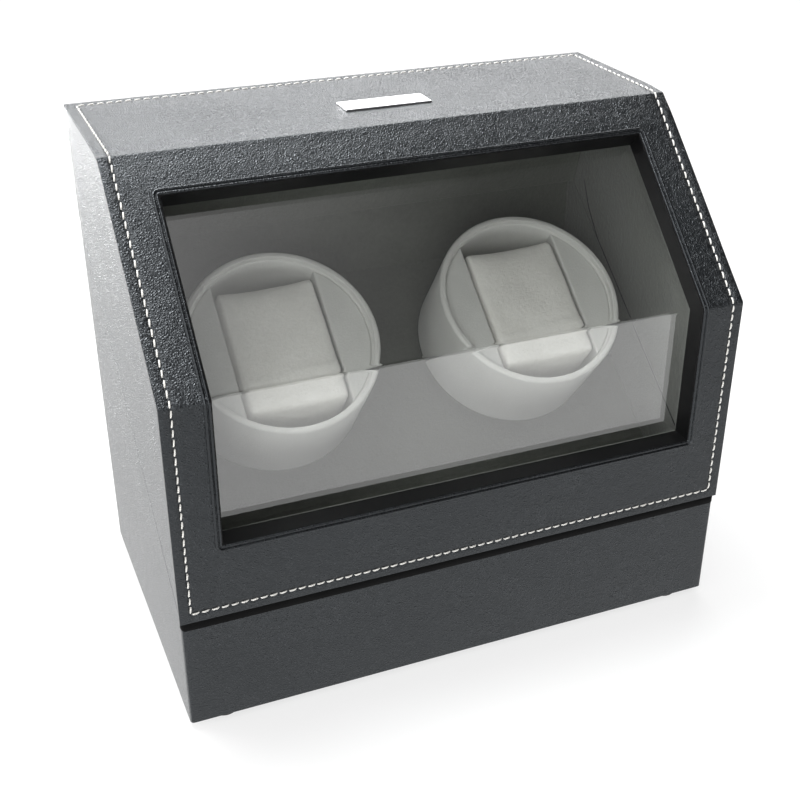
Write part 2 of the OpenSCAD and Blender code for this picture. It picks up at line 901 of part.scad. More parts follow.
module batteries() {
    color("goldenrod")
    for (x = [-cell_l, fit_gap]) translate([x, cell_y, cell_z]) battery_cell();
}

// Plates against the tray's ends, a button on one and a spring's turns on the other
module battery_contacts() {
    first_x = contact_t - tray_x + 0.8 * spring_wire_r;
    last_x = -cell_l - fit_gap - spring_wire_r;
    color("silver") {
        for (x = [-tray_x, tray_x - contact_t])
            translate([x, cell_y - contact_w / 2, cell_z - contact_h / 2])
                cube([contact_t, contact_w, contact_h]);
        translate([cell_l, cell_y, cell_z]) rotate([0, 90, 0])
            cylinder(r = button_r, h = contact_l - contact_t / 2);
        for (i = [0:2])
            translate([first_x + i * (last_x - first_x) / 2, cell_y, cell_z]) rotate([0, 90, 0])
                rotate_extrude()
                    translate([spring_r - i * spring_wire_r, 0]) circle(r = spring_wire_r);
    }
}

module battery_door() {
    half = tray_x - run_gap;
    inner = door_pivot + door_t - 0.9;
    color([0.12, 0.12, 0.13])
    difference() {
        union() {
            translate([-half, back_y - inner, door_z])
                cube([2 * half, door_t, tray_high_z - run_gap - door_z]);
            translate([-half, door_y, door_z]) rotate([0, 90, 0])
                cylinder(r = door_r, h = 2 * half);
            translate([-tray_x - tray_t + run_gap, door_y, door_z]) rotate([0, 90, 0])
                cylinder(r = pintle_r, h = 2 * (tray_x + tray_t - run_gap));
        }
        translate([-9, back_y - inner + door_t - 1, tray_high_z - 9]) cube([18, 1 + over, 3]);
    }
}

// Pivot of the rocker, in the control recess's frame
module rocker_pivot(r, gap) {
    half = rocker_x + rocker_gap + rocker_pin_l + gap;
    translate([outer_x - half, 0, -panel_t / 2]) rotate([0, 90, 0]) cylinder(r = r, h = 2 * half);
}

module control_plate() {
    color([0.1, 0.1, 0.11])
    difference() {
        panel_frame()
            difference() {
                union() {
                    translate([-panel_x, -panel_y, -panel_t])
                        cube([2 * panel_x, 2 * panel_y, recess + panel_t]);
                    translate([-panel_x - flange_w, -panel_y - flange_w, recess])
                        cube([2 * (panel_x + flange_w), 2 * (panel_y + flange_w), flange_t]);
                }
                translate([panel_t - panel_x, panel_t - panel_y, 0])
                    cube([2 * (panel_x - panel_t), 2 * (panel_y - panel_t), recess + flange_t + over]);
                for (x = [-knob_x, knob_x])
                    translate([x, 0, -panel_t - over])
                        cylinder(r = knob_shaft_r + run_gap, h = panel_t + 2 * over);
                translate([-outer_x, 0, -panel_t - over])
                    cylinder(r = jack_r + 1.25 + fit_gap, h = panel_t + 2 * over);
                translate([outer_x - rocker_x - rocker_gap, -rocker_y - 1, -panel_t - over])
                    cube([2 * (rocker_x + rocker_gap), 2 * (rocker_y + 1), panel_t + 2 * over]);
                rocker_pivot(rocker_pin_r + bush_gap, 2 * fit_gap);
            }
        panel_screw_places() screw_hole();
    }
}

module dc_inlet() {
    body = [9, 9, board_gap];
    color([0.2, 0.2, 0.2])
    panel_frame() translate([-outer_x, 0, 0]) {
        difference() {
            union() {
                translate([0, 0, -panel_t]) cylinder(r = jack_r + 1.25, h = panel_t + 1.2);
                cylinder(r = jack_r + 2.5, h = 0.8);
                translate([-body.x / 2, -body.y / 2, pcb_front]) cube(body);
            }
            translate([0, 0, pcb_front + 1]) cylinder(r = jack_r, h = board_gap + panel_t + 2);
        }
        translate([0, 0, pcb_front + 0.5])
            cylinder(r = jack_pin_r, h = board_gap + panel_t - 0.5);
    }
}

module control_board() {
    half = [panel_x - board_in, panel_y - board_low];
    switch = [10, 10, board_gap];
    color("seagreen")
    panel_frame()
        difference() {
            union() {
                translate([-half.x, -half.y, pcb_front - pcb_t])
                    cube([2 * half.x, 2 * half.y, pcb_t]);
                for (x = [-1, 1]) for (y = [-1, 1])
                    translate([x * (half.x - 2.5), y * (half.y - 2.5), pcb_front])
                        cylinder(r = 1.5, h = board_gap);
                for (x = [-knob_x, knob_x])
                    translate([x - switch.x / 2, -switch.y / 2, pcb_front]) cube(switch);
                translate([outer_x - 6, -8.5, pcb_front]) cube([12, 17, board_gap]);
                translate([-4, -4, pcb_front - pcb_t - 2]) cube([8, 8, 2.5]);
                translate([18, 4, pcb_front - pcb_t - 8]) cylinder(r = 3.2, h = 8.5);
                translate([-22, 2, pcb_front - pcb_t - 6]) cube([10, 7, 6.5]);
            }
            for (x = [-knob_x, knob_x])
                translate([x, 0, -panel_t - 6])
                    cylinder(r = knob_shaft_r + run_gap, h = 6 + over);
            translate([outer_x - 4.8, -7.2, -panel_t - 5]) cube([9.6, 14.4, 5 + over]);
        }
}

// Leads inside the base: to each motor and to the battery tray
module control_wires() {
    wire_r = 0.8;
    start_y = back_y - recess + pcb_front - pcb_t - wire_r;
    start_z = panel_z - panel_y + board_low + 3;
    tail = motor_low - 3;
    color("firebrick")
    for (side = [-1, 1])
        tube([
            [side * 24, start_y, start_z],
            [side * 24, start_y - 2, panel_z - panel_y - 5],
            [side * (tray_x - 1), start_y - 2, tray_high_z + tray_t + 7],
            winder_pt(side * (cup_x + gear_c - motor_r + 1), -4, tail - 1),
            winder_pt(side * (cup_x + gear_c - 3), -3, tail - 2),
            winder_pt(side * (cup_x + gear_c), -5, tail - wire_r)
        ], wire_r);
    for (x = [-3, 3])
        translate([x, start_y, tray_high_z + tray_t])
            cylinder(r = wire_r, h = start_z - tray_high_z - tray_t);
}

// Rocker at its off position; x is its pivot
module power_rocker() {
    color([0.05, 0.05, 0.05])
    panel_frame() {
        translate([outer_x, 0, -panel_t / 2]) rotate([rocker_deg, 0, 0])
            rotate([90, 0, 90]) translate([0, 0, -rocker_x]) linear_extrude(2 * rocker_x)
                polygon([[-rocker_y, 2.6], [0, 1.6], [rocker_y, 2.6], [rocker_y, 1.2], [3.5, -3],
                         [-3.5, -3], [-rocker_y, 1.2]]);
        rocker_pivot(rocker_pin_r, 0);
    }
}

module mode_knob() {
    panel_frame() translate([knob_x, 0, 0])
        difference() {
            union() {
                translate([0, 0, run_gap]) cylinder(r = knob_r, h = knob_h);
                translate([0, 0, -panel_t - 5.7])
                    cylinder(r = knob_shaft_r, h = 5.7 + panel_t + run_gap + 1);
            }
            translate([-0.6, -knob_r - over, run_gap + knob_h - 1]) cube([1.2, knob_r, 1 + over]);
        }
}

module mode_knob_left() {
    color([0.3, 0.3, 0.32]) at_side(-1) mode_knob();
}

module mode_knob_right() {
    color([0.3, 0.3, 0.32]) at_side(1) mode_knob();
}

// ---- magnets and hinges ----

module base_magnets() {
    color("silver") magnet_places(-1) cylinder(r = magnet_r, h = magnet_t);
}

module lid_magnets() {
    color("silver") magnet_places(1) cylinder(r = magnet_r, h = magnet_t);
}

// Leaf with its knuckles: side -1 on the base, 1 on the lid
module hinge_leaf(side) {
    pitch = (hinge_w + knuckle_gap) / knuckles;
    clear = knuckle_r + knuckle_gap;
    difference() {
        union() {
            translate([-hinge_w / 2, -hinge_off, side > 0 ? clear : -leaf_h])
                cube([hinge_w, leaf_t, leaf_h - clear]);
            for (i = [side > 0 ? 1 : 0 : 2 : knuckles - 1])
                translate([-hinge_w / 2 + i * pitch, 0, 0]) {
                    rotate([0, 90, 0]) cylinder(r = knuckle_r, h = pitch - knuckle_gap);
                    translate([0, -hinge_off, side > 0 ? 0 : -clear - 0.5])
                        cube([pitch - knuckle_gap, leaf_t, clear + 0.5]);
                }
        }
        translate([-hinge_w, 0, 0]) rotate([0, 90, 0])
            cylinder(r = pin_r + bush_gap, h = 2 * hinge_w);
    }
}

module hinge_leaves(side) {
    difference() {
        both_sides() translate([hinge_x, hinge_y, hinge_z]) hinge_leaf(side);
        hinge_screw_places(side) hinge_screw(fit_gap);
    }
}

module hinge_leaves_base() {
    color("dimgray") hinge_leaves(-1);
}

module hinge_leaves_lid() {
    color("darkgray") hinge_leaves(1);
}

module hinge_pins() {
    color("silver")
    both_sides()
        translate([hinge_x - hinge_w / 2, hinge_y, hinge_z]) rotate([0, 90, 0])
            cylinder(r = pin_r, h = hinge_w);
}

module hinge_screws_base() {
    color("silver") hinge_screw_places(-1) hinge_screw(0);
}

module hinge_screws_lid() {
    color("silver") hinge_screw_places(1) hinge_screw(0);
}

// ---- lid ----

// Outline of the lid's sides at a depth inside the wrap, down to the split
function lid_side(y_back) = [
    lip_pt(wrap_t), knee(wrap_t), crease(wrap_t, wrap_t),
    [y_back, top_z - wrap_t], [y_back, lid_low_z(y_back)]
];

module lid_left_board() {
    color("burlywood") at_side(-1) profile(in_x, board_x, lid_side(back_board_y));
}

module lid_right_board() {
    color("burlywood") at_side(1) profile(in_x, board_x, lid_side(back_board_y));
}

module lid_top_board() {
    color("tan")
    prism(in_x, [crease(wrap_t, wrap_t), crease(pane_d, wrap_t + top_t),
                 [in_back_y, top_z - wrap_t - top_t], [in_back_y, top_z - wrap_t]]);
}

module lid_back_board() {
    color("tan")
    difference() {
        prism(in_x, [[in_back_y, lid_low_z(in_back_y)], [back_board_y, lid_low_z(back_board_y)],
                     [back_board_y, top_z - wrap_t], [in_back_y, top_z - wrap_t]]);
        hinge_screw_places(1) hinge_screw(fit_gap);
    }
}

module lid_slant_frame() {
    color("tan")
    difference() {
        prism(in_x, [knee(wrap_t), crease(wrap_t, wrap_t), crease(pane_d, wrap_t + top_t),
                     knee(pane_d)]);
        window_block(0, -over, pane_d + over);
    }
}

module lid_front_frame() {
    color("tan")
    difference() {
        prism(in_x, [lip_pt(wrap_t), knee(wrap_t), knee(pane_d), lip_pt(pane_d)]);
        window_block(0, -over, pane_d + over);
        magnet_places(1) magnet_pocket();
    }
}

// Straight groove along a face, drawn in that face's frame
module groove(x, y0, y1) {
    translate([x - groove_w / 2, y0, -groove_d]) cube([groove_w, y1 - y0, groove_d + over]);
}

module cross_groove(y) {
    translate([-stitch_x - groove_w / 2, y - groove_w / 2, -groove_d])
        cube([2 * stitch_x + groove_w, groove_w, groove_d + over]);
}

module lid_leather_wrap() {
    color([0.06, 0.06, 0.07])
    difference() {
        prism(wrap_x, [lip_pt(0), knee(0), crease(0, 0), [back_y, top_z],
                       [back_y, top_z - wrap_t], crease(wrap_t, wrap_t), knee(wrap_t),
                       lip_pt(wrap_t)]);
        window_block(0, -over, pane_d);
        for (x = [-stitch_x, stitch_x]) {
            front_face() groove(x, stitch_in, knee_z - lip_z);
            slant_face() groove(x, 0, slant_l);
            top_face() groove(x, 0, top_d - stitch_in);
        }
        front_face() cross_groove(stitch_in);
        top_face() cross_groove(top_d - stitch_in);
    }
}

module lid_side_leather() {
    color([0.08, 0.08, 0.09])
    both_sides() profile(board_x, skin_x, lid_side(back_y));
}

module lid_back_leather() {
    color([0.08, 0.08, 0.09])
    difference() {
        prism(board_x, [[back_board_y, lid_low_z(back_board_y)], [back_y, lid_low_z(back_y)],
                        [back_y, top_z - wrap_t], [back_board_y, top_z - wrap_t]]);
        hinge_screw_places(1) hinge_screw(fit_gap);
    }
}

module window_bead() {
    color([0.05, 0.05, 0.06])
    difference() {
        window_block(bead_w, -bead_h, 0);
        window_block(0, -bead_h - over, over);
    }
}

module jamb_liner() {
    color([0.02, 0.02, 0.02])
    difference() {
        window_block(0, 0, pane_d);
        window_block(-jamb_t, -over, pane_d + over);
    }
}

module window_pane() {
    color([0.8, 0.9, 0.95, 0.4])
    prism(win_x + pane_lap,
          band(pane_d, pane_d + pane_t, win_low_z - pane_lap, win_up + pane_lap));
}

module pane_retainers() {
    color([0.3, 0.3, 0.3])
    difference() {
        prism(win_x + pane_lap,
              band(pane_d + pane_t, pane_d + pane_t + strip_t,
                   win_low_z - pane_lap, win_up + pane_lap));
        prism(win_x + pane_lap - strip_w,
              band(pane_d + pane_t - over, pane_d + pane_t + strip_t + over,
                   win_low_z - pane_lap + strip_w, win_up + pane_lap - strip_w));
    }
}

module lid_lining() {
    under = wrap_t + top_t;
    lining_z = top_z - under - lining_t;
    pad_low_y = in_back_y - lid_pad_low;
    pad_high_y = in_back_y - lid_pad_high;
    color([0.5, 0.51, 0.47]) {
        both_sides()
            profile(room_x, in_x, [
                lip_pt(pane_d), knee(pane_d), crease(pane_d, under),
                [in_back_y, top_z - under], [in_back_y, lid_low_z(in_back_y)]
            ]);
        prism(room_x, [[in_back_y, lid_low_z(in_back_y)], [in_back_y, lining_z],
                       [pad_high_y, lining_z], [pad_low_y, lid_low_z(pad_low_y)]]);
        prism(room_x, [[crease(pane_d, under).x, top_z - under], [in_back_y, top_z - under],
                       [in_back_y, lining_z], [crease(pane_d, under + lining_t).x, lining_z]]);
    }
}

// One stitch along x, lying on the groove's floor
module stitch() {
    translate([0, 0, thread_r - groove_d]) rotate([0, 0, stitch_slant]) rotate([0, 90, 0])
        cylinder(r = thread_r, h = stitch_l, center = true, $fn = 16);
}

// Row of stitches up a face at one side
module stitch_row(x, y0, y1) {
    count = floor((y1 - y0) / stitch_pitch);
    step = (y1 - y0) / count;
    for (i = [0:count - 1]) translate([x, y0 + (i + 0.5) * step, 0]) rotate(90) stitch();
}

// Row of stitches across a face
module stitch_cross(y) {
    length = 2 * stitch_x;
    count = floor(length / stitch_pitch);
    step = length / count;
    for (i = [0:count - 1]) translate([(i + 0.5) * step - stitch_x, y, 0]) stitch();
}

module lid_stitching() {
    color("white") {
        for (x = [-stitch_x, stitch_x]) {
            front_face() stitch_row(x, stitch_in, knee_z - lip_z);
            slant_face() stitch_row(x, 0, slant_l);
            top_face() stitch_row(x, 0, top_d - stitch_in);
        }
        front_face() stitch_cross(stitch_in);
        top_face() stitch_cross(top_d - stitch_in);
    }
}

module nameplate() {
    color([0.8, 0.8, 0.82])
    translate([badge_x - badge_w / 2, back_y - badge_back - badge_d / 2, top_z])
        cube([badge_w, badge_d, badge_t]);
}

base_floor();
base_left_board();
base_right_board();
base_front_board();
base_back_board();
base_leather();
underside_sheet();
rubber_feet();
base_lining();
deck_board();
deck_suede();
deck_cleats();
spindle_bushes();
motor_brackets();
gearmotors();
machine_screws();
battery_tray();
batteries();
battery_contacts();
control_plate();
dc_inlet();
control_board();
control_wires();
base_magnets();
hinge_leaves_base();
hinge_pins();
hinge_screws_base();
lid_left_board();
lid_right_board();
lid_top_board();
lid_back_board();
lid_slant_frame();
lid_front_frame();
lid_leather_wrap();
lid_side_leather();
lid_back_leather();
window_bead();
jamb_liner();
window_pane();
pane_retainers();
lid_lining();
lid_stitching();
nameplate();
lid_magnets();
hinge_leaves_lid();
hinge_screws_lid();
power_rocker();
mode_knob_left();
mode_knob_right();
battery_door();
cup_left();
cup_right();
cup_insert_left();
cup_insert_right();
drive_wheel_left();
drive_wheel_right();
pinion_left();
pinion_right();
cushion_left();
cushion_right();
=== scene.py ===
"""Looks of the watch winder box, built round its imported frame."""

import json
import math

import bmesh
import bpy
from mathutils import Matrix, Vector, noise


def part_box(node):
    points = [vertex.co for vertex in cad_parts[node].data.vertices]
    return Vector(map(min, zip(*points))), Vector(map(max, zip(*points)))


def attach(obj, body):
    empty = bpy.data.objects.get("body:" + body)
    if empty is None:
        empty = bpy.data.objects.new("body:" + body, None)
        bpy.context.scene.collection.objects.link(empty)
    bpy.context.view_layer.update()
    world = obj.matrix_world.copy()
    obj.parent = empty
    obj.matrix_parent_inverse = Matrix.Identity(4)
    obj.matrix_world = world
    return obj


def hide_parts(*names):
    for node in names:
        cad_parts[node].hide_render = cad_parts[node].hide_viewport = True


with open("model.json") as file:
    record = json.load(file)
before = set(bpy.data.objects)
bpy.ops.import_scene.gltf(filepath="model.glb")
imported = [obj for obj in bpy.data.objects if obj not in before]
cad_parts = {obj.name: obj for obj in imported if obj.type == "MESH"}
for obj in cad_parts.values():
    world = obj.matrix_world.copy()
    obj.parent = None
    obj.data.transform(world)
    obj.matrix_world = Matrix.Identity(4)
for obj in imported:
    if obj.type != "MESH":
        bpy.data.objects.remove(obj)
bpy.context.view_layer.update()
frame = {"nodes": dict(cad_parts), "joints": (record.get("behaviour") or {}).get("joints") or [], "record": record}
nodes = frame["nodes"]
joints = {joint["name"]: joint for joint in frame["joints"]}

MM = 0.001

# ---- sizes taken from the frame ----
wrap_low, wrap_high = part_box("lid_leather_wrap")
HALF_W = wrap_high[0]
FRONT_Y = wrap_low[1]
BACK_Y = wrap_high[1]
TOP_Z = wrap_high[2]
base_low, base_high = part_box("base_leather")
BASE_X = base_high[0]
BASE_FRONT_Y = base_low[1]
BASE_LOW_Z = base_low[2]
BASE_TOP_Z = base_high[2]

# ---- sizes shared with the part's source ----
TOP_DEPTH = 74.1 * MM
KNEE_Z = 146.4 * MM
LIP_Z = 52.7 * MM
LID_GAP = 0.5 * MM
WRAP_T = 1.2 * MM
LEATHER_T = 0.8 * MM
LINING_T = 0.8 * MM
PANE_D = 9 * MM
PANE_T = 3 * MM
PANE_LAP = 8 * MM
WIN_SIDE = 18.5 * MM
WIN_LOW = 32.3 * MM
WIN_HEAD = 18.4 * MM
STITCH_IN = 4.5 * MM
STITCH_PITCH = 3.8 * MM
STITCH_L = 2.9 * MM
THREAD_R = 0.28 * MM
STITCH_SLANT = math.radians(7)
CUP_R = 40.8 * MM
CUP_BASE_R = 40.3 * MM
CUP_H = 42 * MM
RIM_UP = 25.3 * MM
CUP_WALL = 2.6 * MM
CUP_FLOOR = 3 * MM
CUSHION_W = 43.5 * MM
CUSHION_UP = 27 * MM
CUSHION_LOW = 29.3 * MM
CUSHION_DOWN = 1 * MM
CUSHION_DROP = 1.2 * MM
RUN_GAP = 0.3 * MM

# ---- sizes of the looks alone ----
BASE_CORNER_R = 1.6 * MM
CUP_BORE_R = 3.02 * MM
CUP_STEPS = 144
CUSHION_PLUMP = 1.4 * MM
CUSHION_VOXEL = 1.9 * MM
CUSHION_FLAP = -14.5 * MM
CLOTH_PRESSURE = 4.0
CLOTH_FRAMES = 20
CLOTH_CAP = 3.0 * MM

CUSHION_BASE = RIM_UP - CUP_H + CUP_FLOOR + RUN_GAP
CREASE_Y = BACK_Y - TOP_DEPTH
SLANT = math.atan2(TOP_Z - KNEE_Z, CREASE_Y - FRONT_Y)
TILT = math.atan2(BASE_TOP_Z - LIP_Z, BACK_Y - FRONT_Y)
WIN_LOW_Z = LIP_Z + WIN_LOW
WIN_X = HALF_W - WIN_SIDE
WIN_UP = math.hypot(TOP_Z - KNEE_Z, CREASE_Y - FRONT_Y) - WIN_HEAD


def split_z(y):
    return LIP_Z + (y - FRONT_Y) * math.tan(TILT)


# ---- small builders ----

def new_mesh(name, verts, faces):
    mesh = bpy.data.meshes.new(name)
    mesh.from_pydata([tuple(v) for v in verts], [], faces)
    mesh.validate()
    obj = bpy.data.objects.new(name, mesh)
    bpy.context.scene.collection.objects.link(obj)
    mesh.polygons.foreach_set("use_smooth", [True] * len(mesh.polygons))
    return obj


def modifier(obj, kind, **settings):
    item = obj.modifiers.new(kind.lower(), kind)
    for key, value in settings.items():
        setattr(item, key, value)


def apply_modifiers(obj):
    graph = bpy.context.evaluated_depsgraph_get()
    mesh = bpy.data.meshes.new_from_object(obj.evaluated_get(graph))
    obj.modifiers.clear()
    old = obj.data
    obj.data = mesh
    bpy.data.meshes.remove(old)


def close_holes(obj):
    """Caps each open loop of a mesh, so that it is one closed skin."""
    mesh = bmesh.new()
    mesh.from_mesh(obj.data)
    bmesh.ops.holes_fill(mesh, edges=[edge for edge in mesh.edges if edge.is_boundary], sides=0)
    mesh.to_mesh(obj.data)
    mesh.free()


def finish_piece(obj, body, material, replaced=()):
    """One material, the body it rides on and the CAD nodes it stands for."""
    obj.data.materials.clear()
    obj.data.materials.append(material)
    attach(obj, body)
    if replaced:
        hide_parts(*replaced)


def grid_mesh(name, point, rows, columns, skip=None, closed=False):
    """Quads over rows and columns; point(row, column) gives each corner."""
    verts = [point(r, c) for r in rows for c in columns]
    across = len(columns)
    faces = []
    for i in range(len(rows) - 1):
        for j in range(across if closed else across - 1):
            k = (j + 1) % across
            if skip and skip(rows[i], rows[i + 1], columns[j], columns[k]):
                continue
            faces.append((i * across + j, i * across + k, (i + 1) * across + k, (i + 1) * across + j))
    return new_mesh(name, verts, faces)


def spaced(stops, step):
    """Places from the first stop to the last, through each stop, about a step apart."""
    places = [stops[0]]
    for a, b in zip(stops, stops[1:]):
        count = max(1, round((b - a) / step))
        places += [a + (b - a) * (i + 1) / count for i in range(count)]
    return places


def arc_points(cx, cy, radius, start, end, count):
    """Points along an arc, from one angle to another in degrees."""
    return [(cx + radius * math.cos(math.radians(start + (end - start) * i / count)),
             cy + radius * math.sin(math.radians(start + (end - start) * i / count)))
            for i in range(count + 1)]


def ring_faces(rings, count, first=0, closed=False):
    """Quads between rings of count points each; closed joins the last ring to the first."""
    return [(first + i * count + k, first + i * count + (k + 1) % count,
             first + (i + 1) % rings * count + (k + 1) % count,
             first + (i + 1) % rings * count + k)
            for i in range(rings if closed else rings - 1) for k in range(count)]


# ---- the lid's profile, unrolled ----

class Profile:
    """Front, slope and top as one line with rounded bends, by distance along it."""

    def __init__(self, depth, radius):
        knee_z = KNEE_Z - depth * (1 - math.sin(SLANT)) / math.cos(SLANT)
        crease = self.crease(depth)
        self.corners = [
            Vector((FRONT_Y + depth, split_z(FRONT_Y + depth) + LID_GAP / math.cos(TILT))),
            Vector((FRONT_Y + depth, knee_z)),
            Vector((crease, TOP_Z - depth)),
            Vector((BACK_Y, TOP_Z - depth)),
        ]
        self.parts = []
        cuts = []
        for i in (1, 2):
            before = (self.corners[i] - self.corners[i - 1]).normalized()
            after = (self.corners[i + 1] - self.corners[i]).normalized()
            turn = before.angle(after)
            cut = radius * math.tan(turn / 2)
            cuts.append((before, after, turn, cut))
        start = self.corners[0]
        at = 0.0
        for i, (before, after, turn, cut) in enumerate(cuts):
            end = self.corners[i + 1] - before * cut
            at = self.add_line(start, end, before, at)
            at = self.add_arc(end, before, turn, radius, at)
            start = self.corners[i + 1] + after * cut
        self.length = self.add_line(start, self.corners[3], cuts[1][1], at)

    @staticmethod
    def crease(depth):
        rise = TOP_Z - depth - KNEE_Z + depth / math.cos(SLANT)
        return FRONT_Y + rise / math.tan(SLANT)

    def add_line(self, start, end, way, at):
        length = (end - start).length
        self.parts.append((at, at + length, "line", start, way, 0.0))
        return at + length

    def add_arc(self, start, way, turn, radius, at):
        length = turn * radius
        self.parts.append((at, at + length, "arc", start, way, radius))
        return at + length

    def stops(self):
        """Ends of the straight stretches."""
        return [part[0] for part in self.parts] + [self.length]

    def at(self, s):
        """Point and outward normal, in y and z, at a distance along the profile."""
        for begin, end, kind, start, way, radius in self.parts:
            if s <= end or end == self.length:
                break
        if kind == "line":
            point = start + way * (s - begin)
            return point, Vector((-way.y, way.x))
        angle = (s - begin) / radius
        normal = Vector((-way.y, way.x))
        centre = start - normal * radius
        turned = Vector((normal.x * math.cos(angle) + normal.y * math.sin(angle),
                         -normal.x * math.sin(angle) + normal.y * math.cos(angle)))
        return centre + turned * radius, turned

    def place(self, x, s, height=0.0):
        point, normal = self.at(s)
        point = point + normal * height
        return Vector((x, point.x, point.y))


OUTER = Profile(0.0, 2.0 * MM)
FRONT_END = OUTER.parts[0][1]
SLOPE_START = OUTER.parts[2][0]
SLOPE_END = OUTER.parts[2][1]
TOP_START = OUTER.parts[4][0]
S_KNEE = (FRONT_END + SLOPE_START) / 2
S_CREASE = (SLOPE_END + TOP_START) / 2
S_WIN_LOW = WIN_LOW - LID_GAP
S_WIN_HIGH = S_KNEE + WIN_UP
S_STITCH_LOW = STITCH_IN - LID_GAP
S_STITCH_HIGH = OUTER.length - STITCH_IN
STITCH_X = HALF_W - STITCH_IN


def smooth_step(edge0, edge1, value):
    t = min(1.0, max(0.0, (value - edge0) / (edge1 - edge0)))
    return t * t * (3 - 2 * t)


def stitch_distance(x, s):
    """Distance to the stitch line, and the place along it."""
    side = abs(abs(x) - STITCH_X)
    low = abs(s - S_STITCH_LOW)
    high = abs(s - S_STITCH_HIGH)
    inside = S_STITCH_LOW <= s <= S_STITCH_HIGH
    best = (side, s) if inside else (1.0, s)
    if abs(x) <= STITCH_X:
        best = min(best, (low, x), (high, x), key=lambda item: item[0])
    return best


def leather_height(x, s):
    """Relief of the covering: the stitched channel, its puckers and the soft hand-laid waviness."""
    distance, along = stitch_distance(x, s)
    channel = math.exp(-(distance / (0.7 * MM)) ** 2)
    pucker = 0.5 + 0.5 * math.cos(2 * math.pi * along / STITCH_PITCH)
    swell = math.exp(-((distance - 1.5 * MM) / (0.9 * MM)) ** 2)
    wave = noise.noise(Vector((x * 38, s * 38, 3.0))) * 0.1 * MM
    ripple = noise.noise(Vector((x * 120, s * 120, 9.0))) * 0.02 * MM
    wave -= 0.75 * MM * math.exp(-((s - S_CREASE) / (8 * MM)) ** 2)
    return wave + ripple - channel * (0.32 + 0.16 * pucker) * MM + swell * 0.07 * MM


# ---- materials ----

class Nodes:
    """Short hand for a node tree."""

    def __init__(self, name):
        self.material = bpy.data.materials.new(name)
        self.material.use_nodes = True
        self.tree = self.material.node_tree
        self.shader = self.tree.nodes["Principled BSDF"]
        self.coords = self.tree.nodes.new("ShaderNodeTexCoord").outputs["Object"]

    def add(self, kind, links=None, **settings):
        item = self.tree.nodes.new("ShaderNode" + kind)
        for key, value in settings.items():
            setattr(item, key, value)
        for key, value in (links or {}).items():
            socket = item.inputs[key]
            if isinstance(value, bpy.types.NodeSocket):
                self.tree.links.new(value, socket)
            else:
                socket.default_value = value
        return item

    def link(self, output, socket_name):
        self.tree.links.new(output, self.shader.inputs[socket_name])

    def set(self, **values):
        for key, value in values.items():
            self.shader.inputs[key.replace("_", " ")].default_value = value

    def scaled(self, scale):
        """Object coordinates multiplied along each axis."""
        return self.add("Mapping", {"Vector": self.coords, "Scale": scale}).outputs["Vector"]

    def noise(self, scale, detail=4.0, roughness=0.55, vector=None, distortion=0.0):
        return self.add("TexNoise", {
            "Vector": vector or self.coords, "Scale": scale, "Detail": detail,
            "Roughness": roughness, "Distortion": distortion}).outputs["Fac"]

    def cells(self, scale, vector):
        """Distance to the edge of the nearest of many small cells."""
        return self.add("TexVoronoi", {"Vector": vector, "Scale": scale},
                        feature="DISTANCE_TO_EDGE").outputs["Distance"]

    def crease_lines(self, scale, vector, width):
        """Zero along winding lines and one away from them."""
        fold = self.math("SUBTRACT", self.noise(scale, 4.0, 0.6, vector, 0.8), 0.5)
        return self.ease(self.math("ABSOLUTE", fold, 0.0), 0.0, width)

    def remap(self, value, low, high, to_low=0.0, to_high=1.0):
        return self.add("MapRange", {"Value": value, "From Min": low, "From Max": high,
                                     "To Min": to_low, "To Max": to_high}).outputs["Result"]

    def ease(self, value, low, high):
        """Smooth step from zero to one."""
        item = self.add("MapRange", {"Value": value, "From Min": low, "From Max": high},
                        interpolation_type="SMOOTHSTEP")
        return item.outputs["Result"]

    def math(self, operation, a, b):
        return self.add("Math", {0: a, 1: b}, operation=operation).outputs["Value"]

    def mix(self, factor, a, b):
        item = self.add("Mix", data_type="RGBA")
        for socket, value in (("Factor_Float", factor), ("A_Color", a), ("B_Color", b)):
            target = next(i for i in item.inputs if i.identifier == socket)
            if isinstance(value, bpy.types.NodeSocket):
                self.tree.links.new(value, target)
            else:
                target.default_value = value if socket == "Factor_Float" else (*value, 1.0)
        return next(o for o in item.outputs if o.identifier == "Result_Color")

    def bump(self, height, distance, strength=1.0, normal=None):
        links = {"Height": height, "Distance": distance, "Strength": strength}
        if normal is not None:
            links["Normal"] = normal
        return self.add("Bump", links).outputs["Normal"]


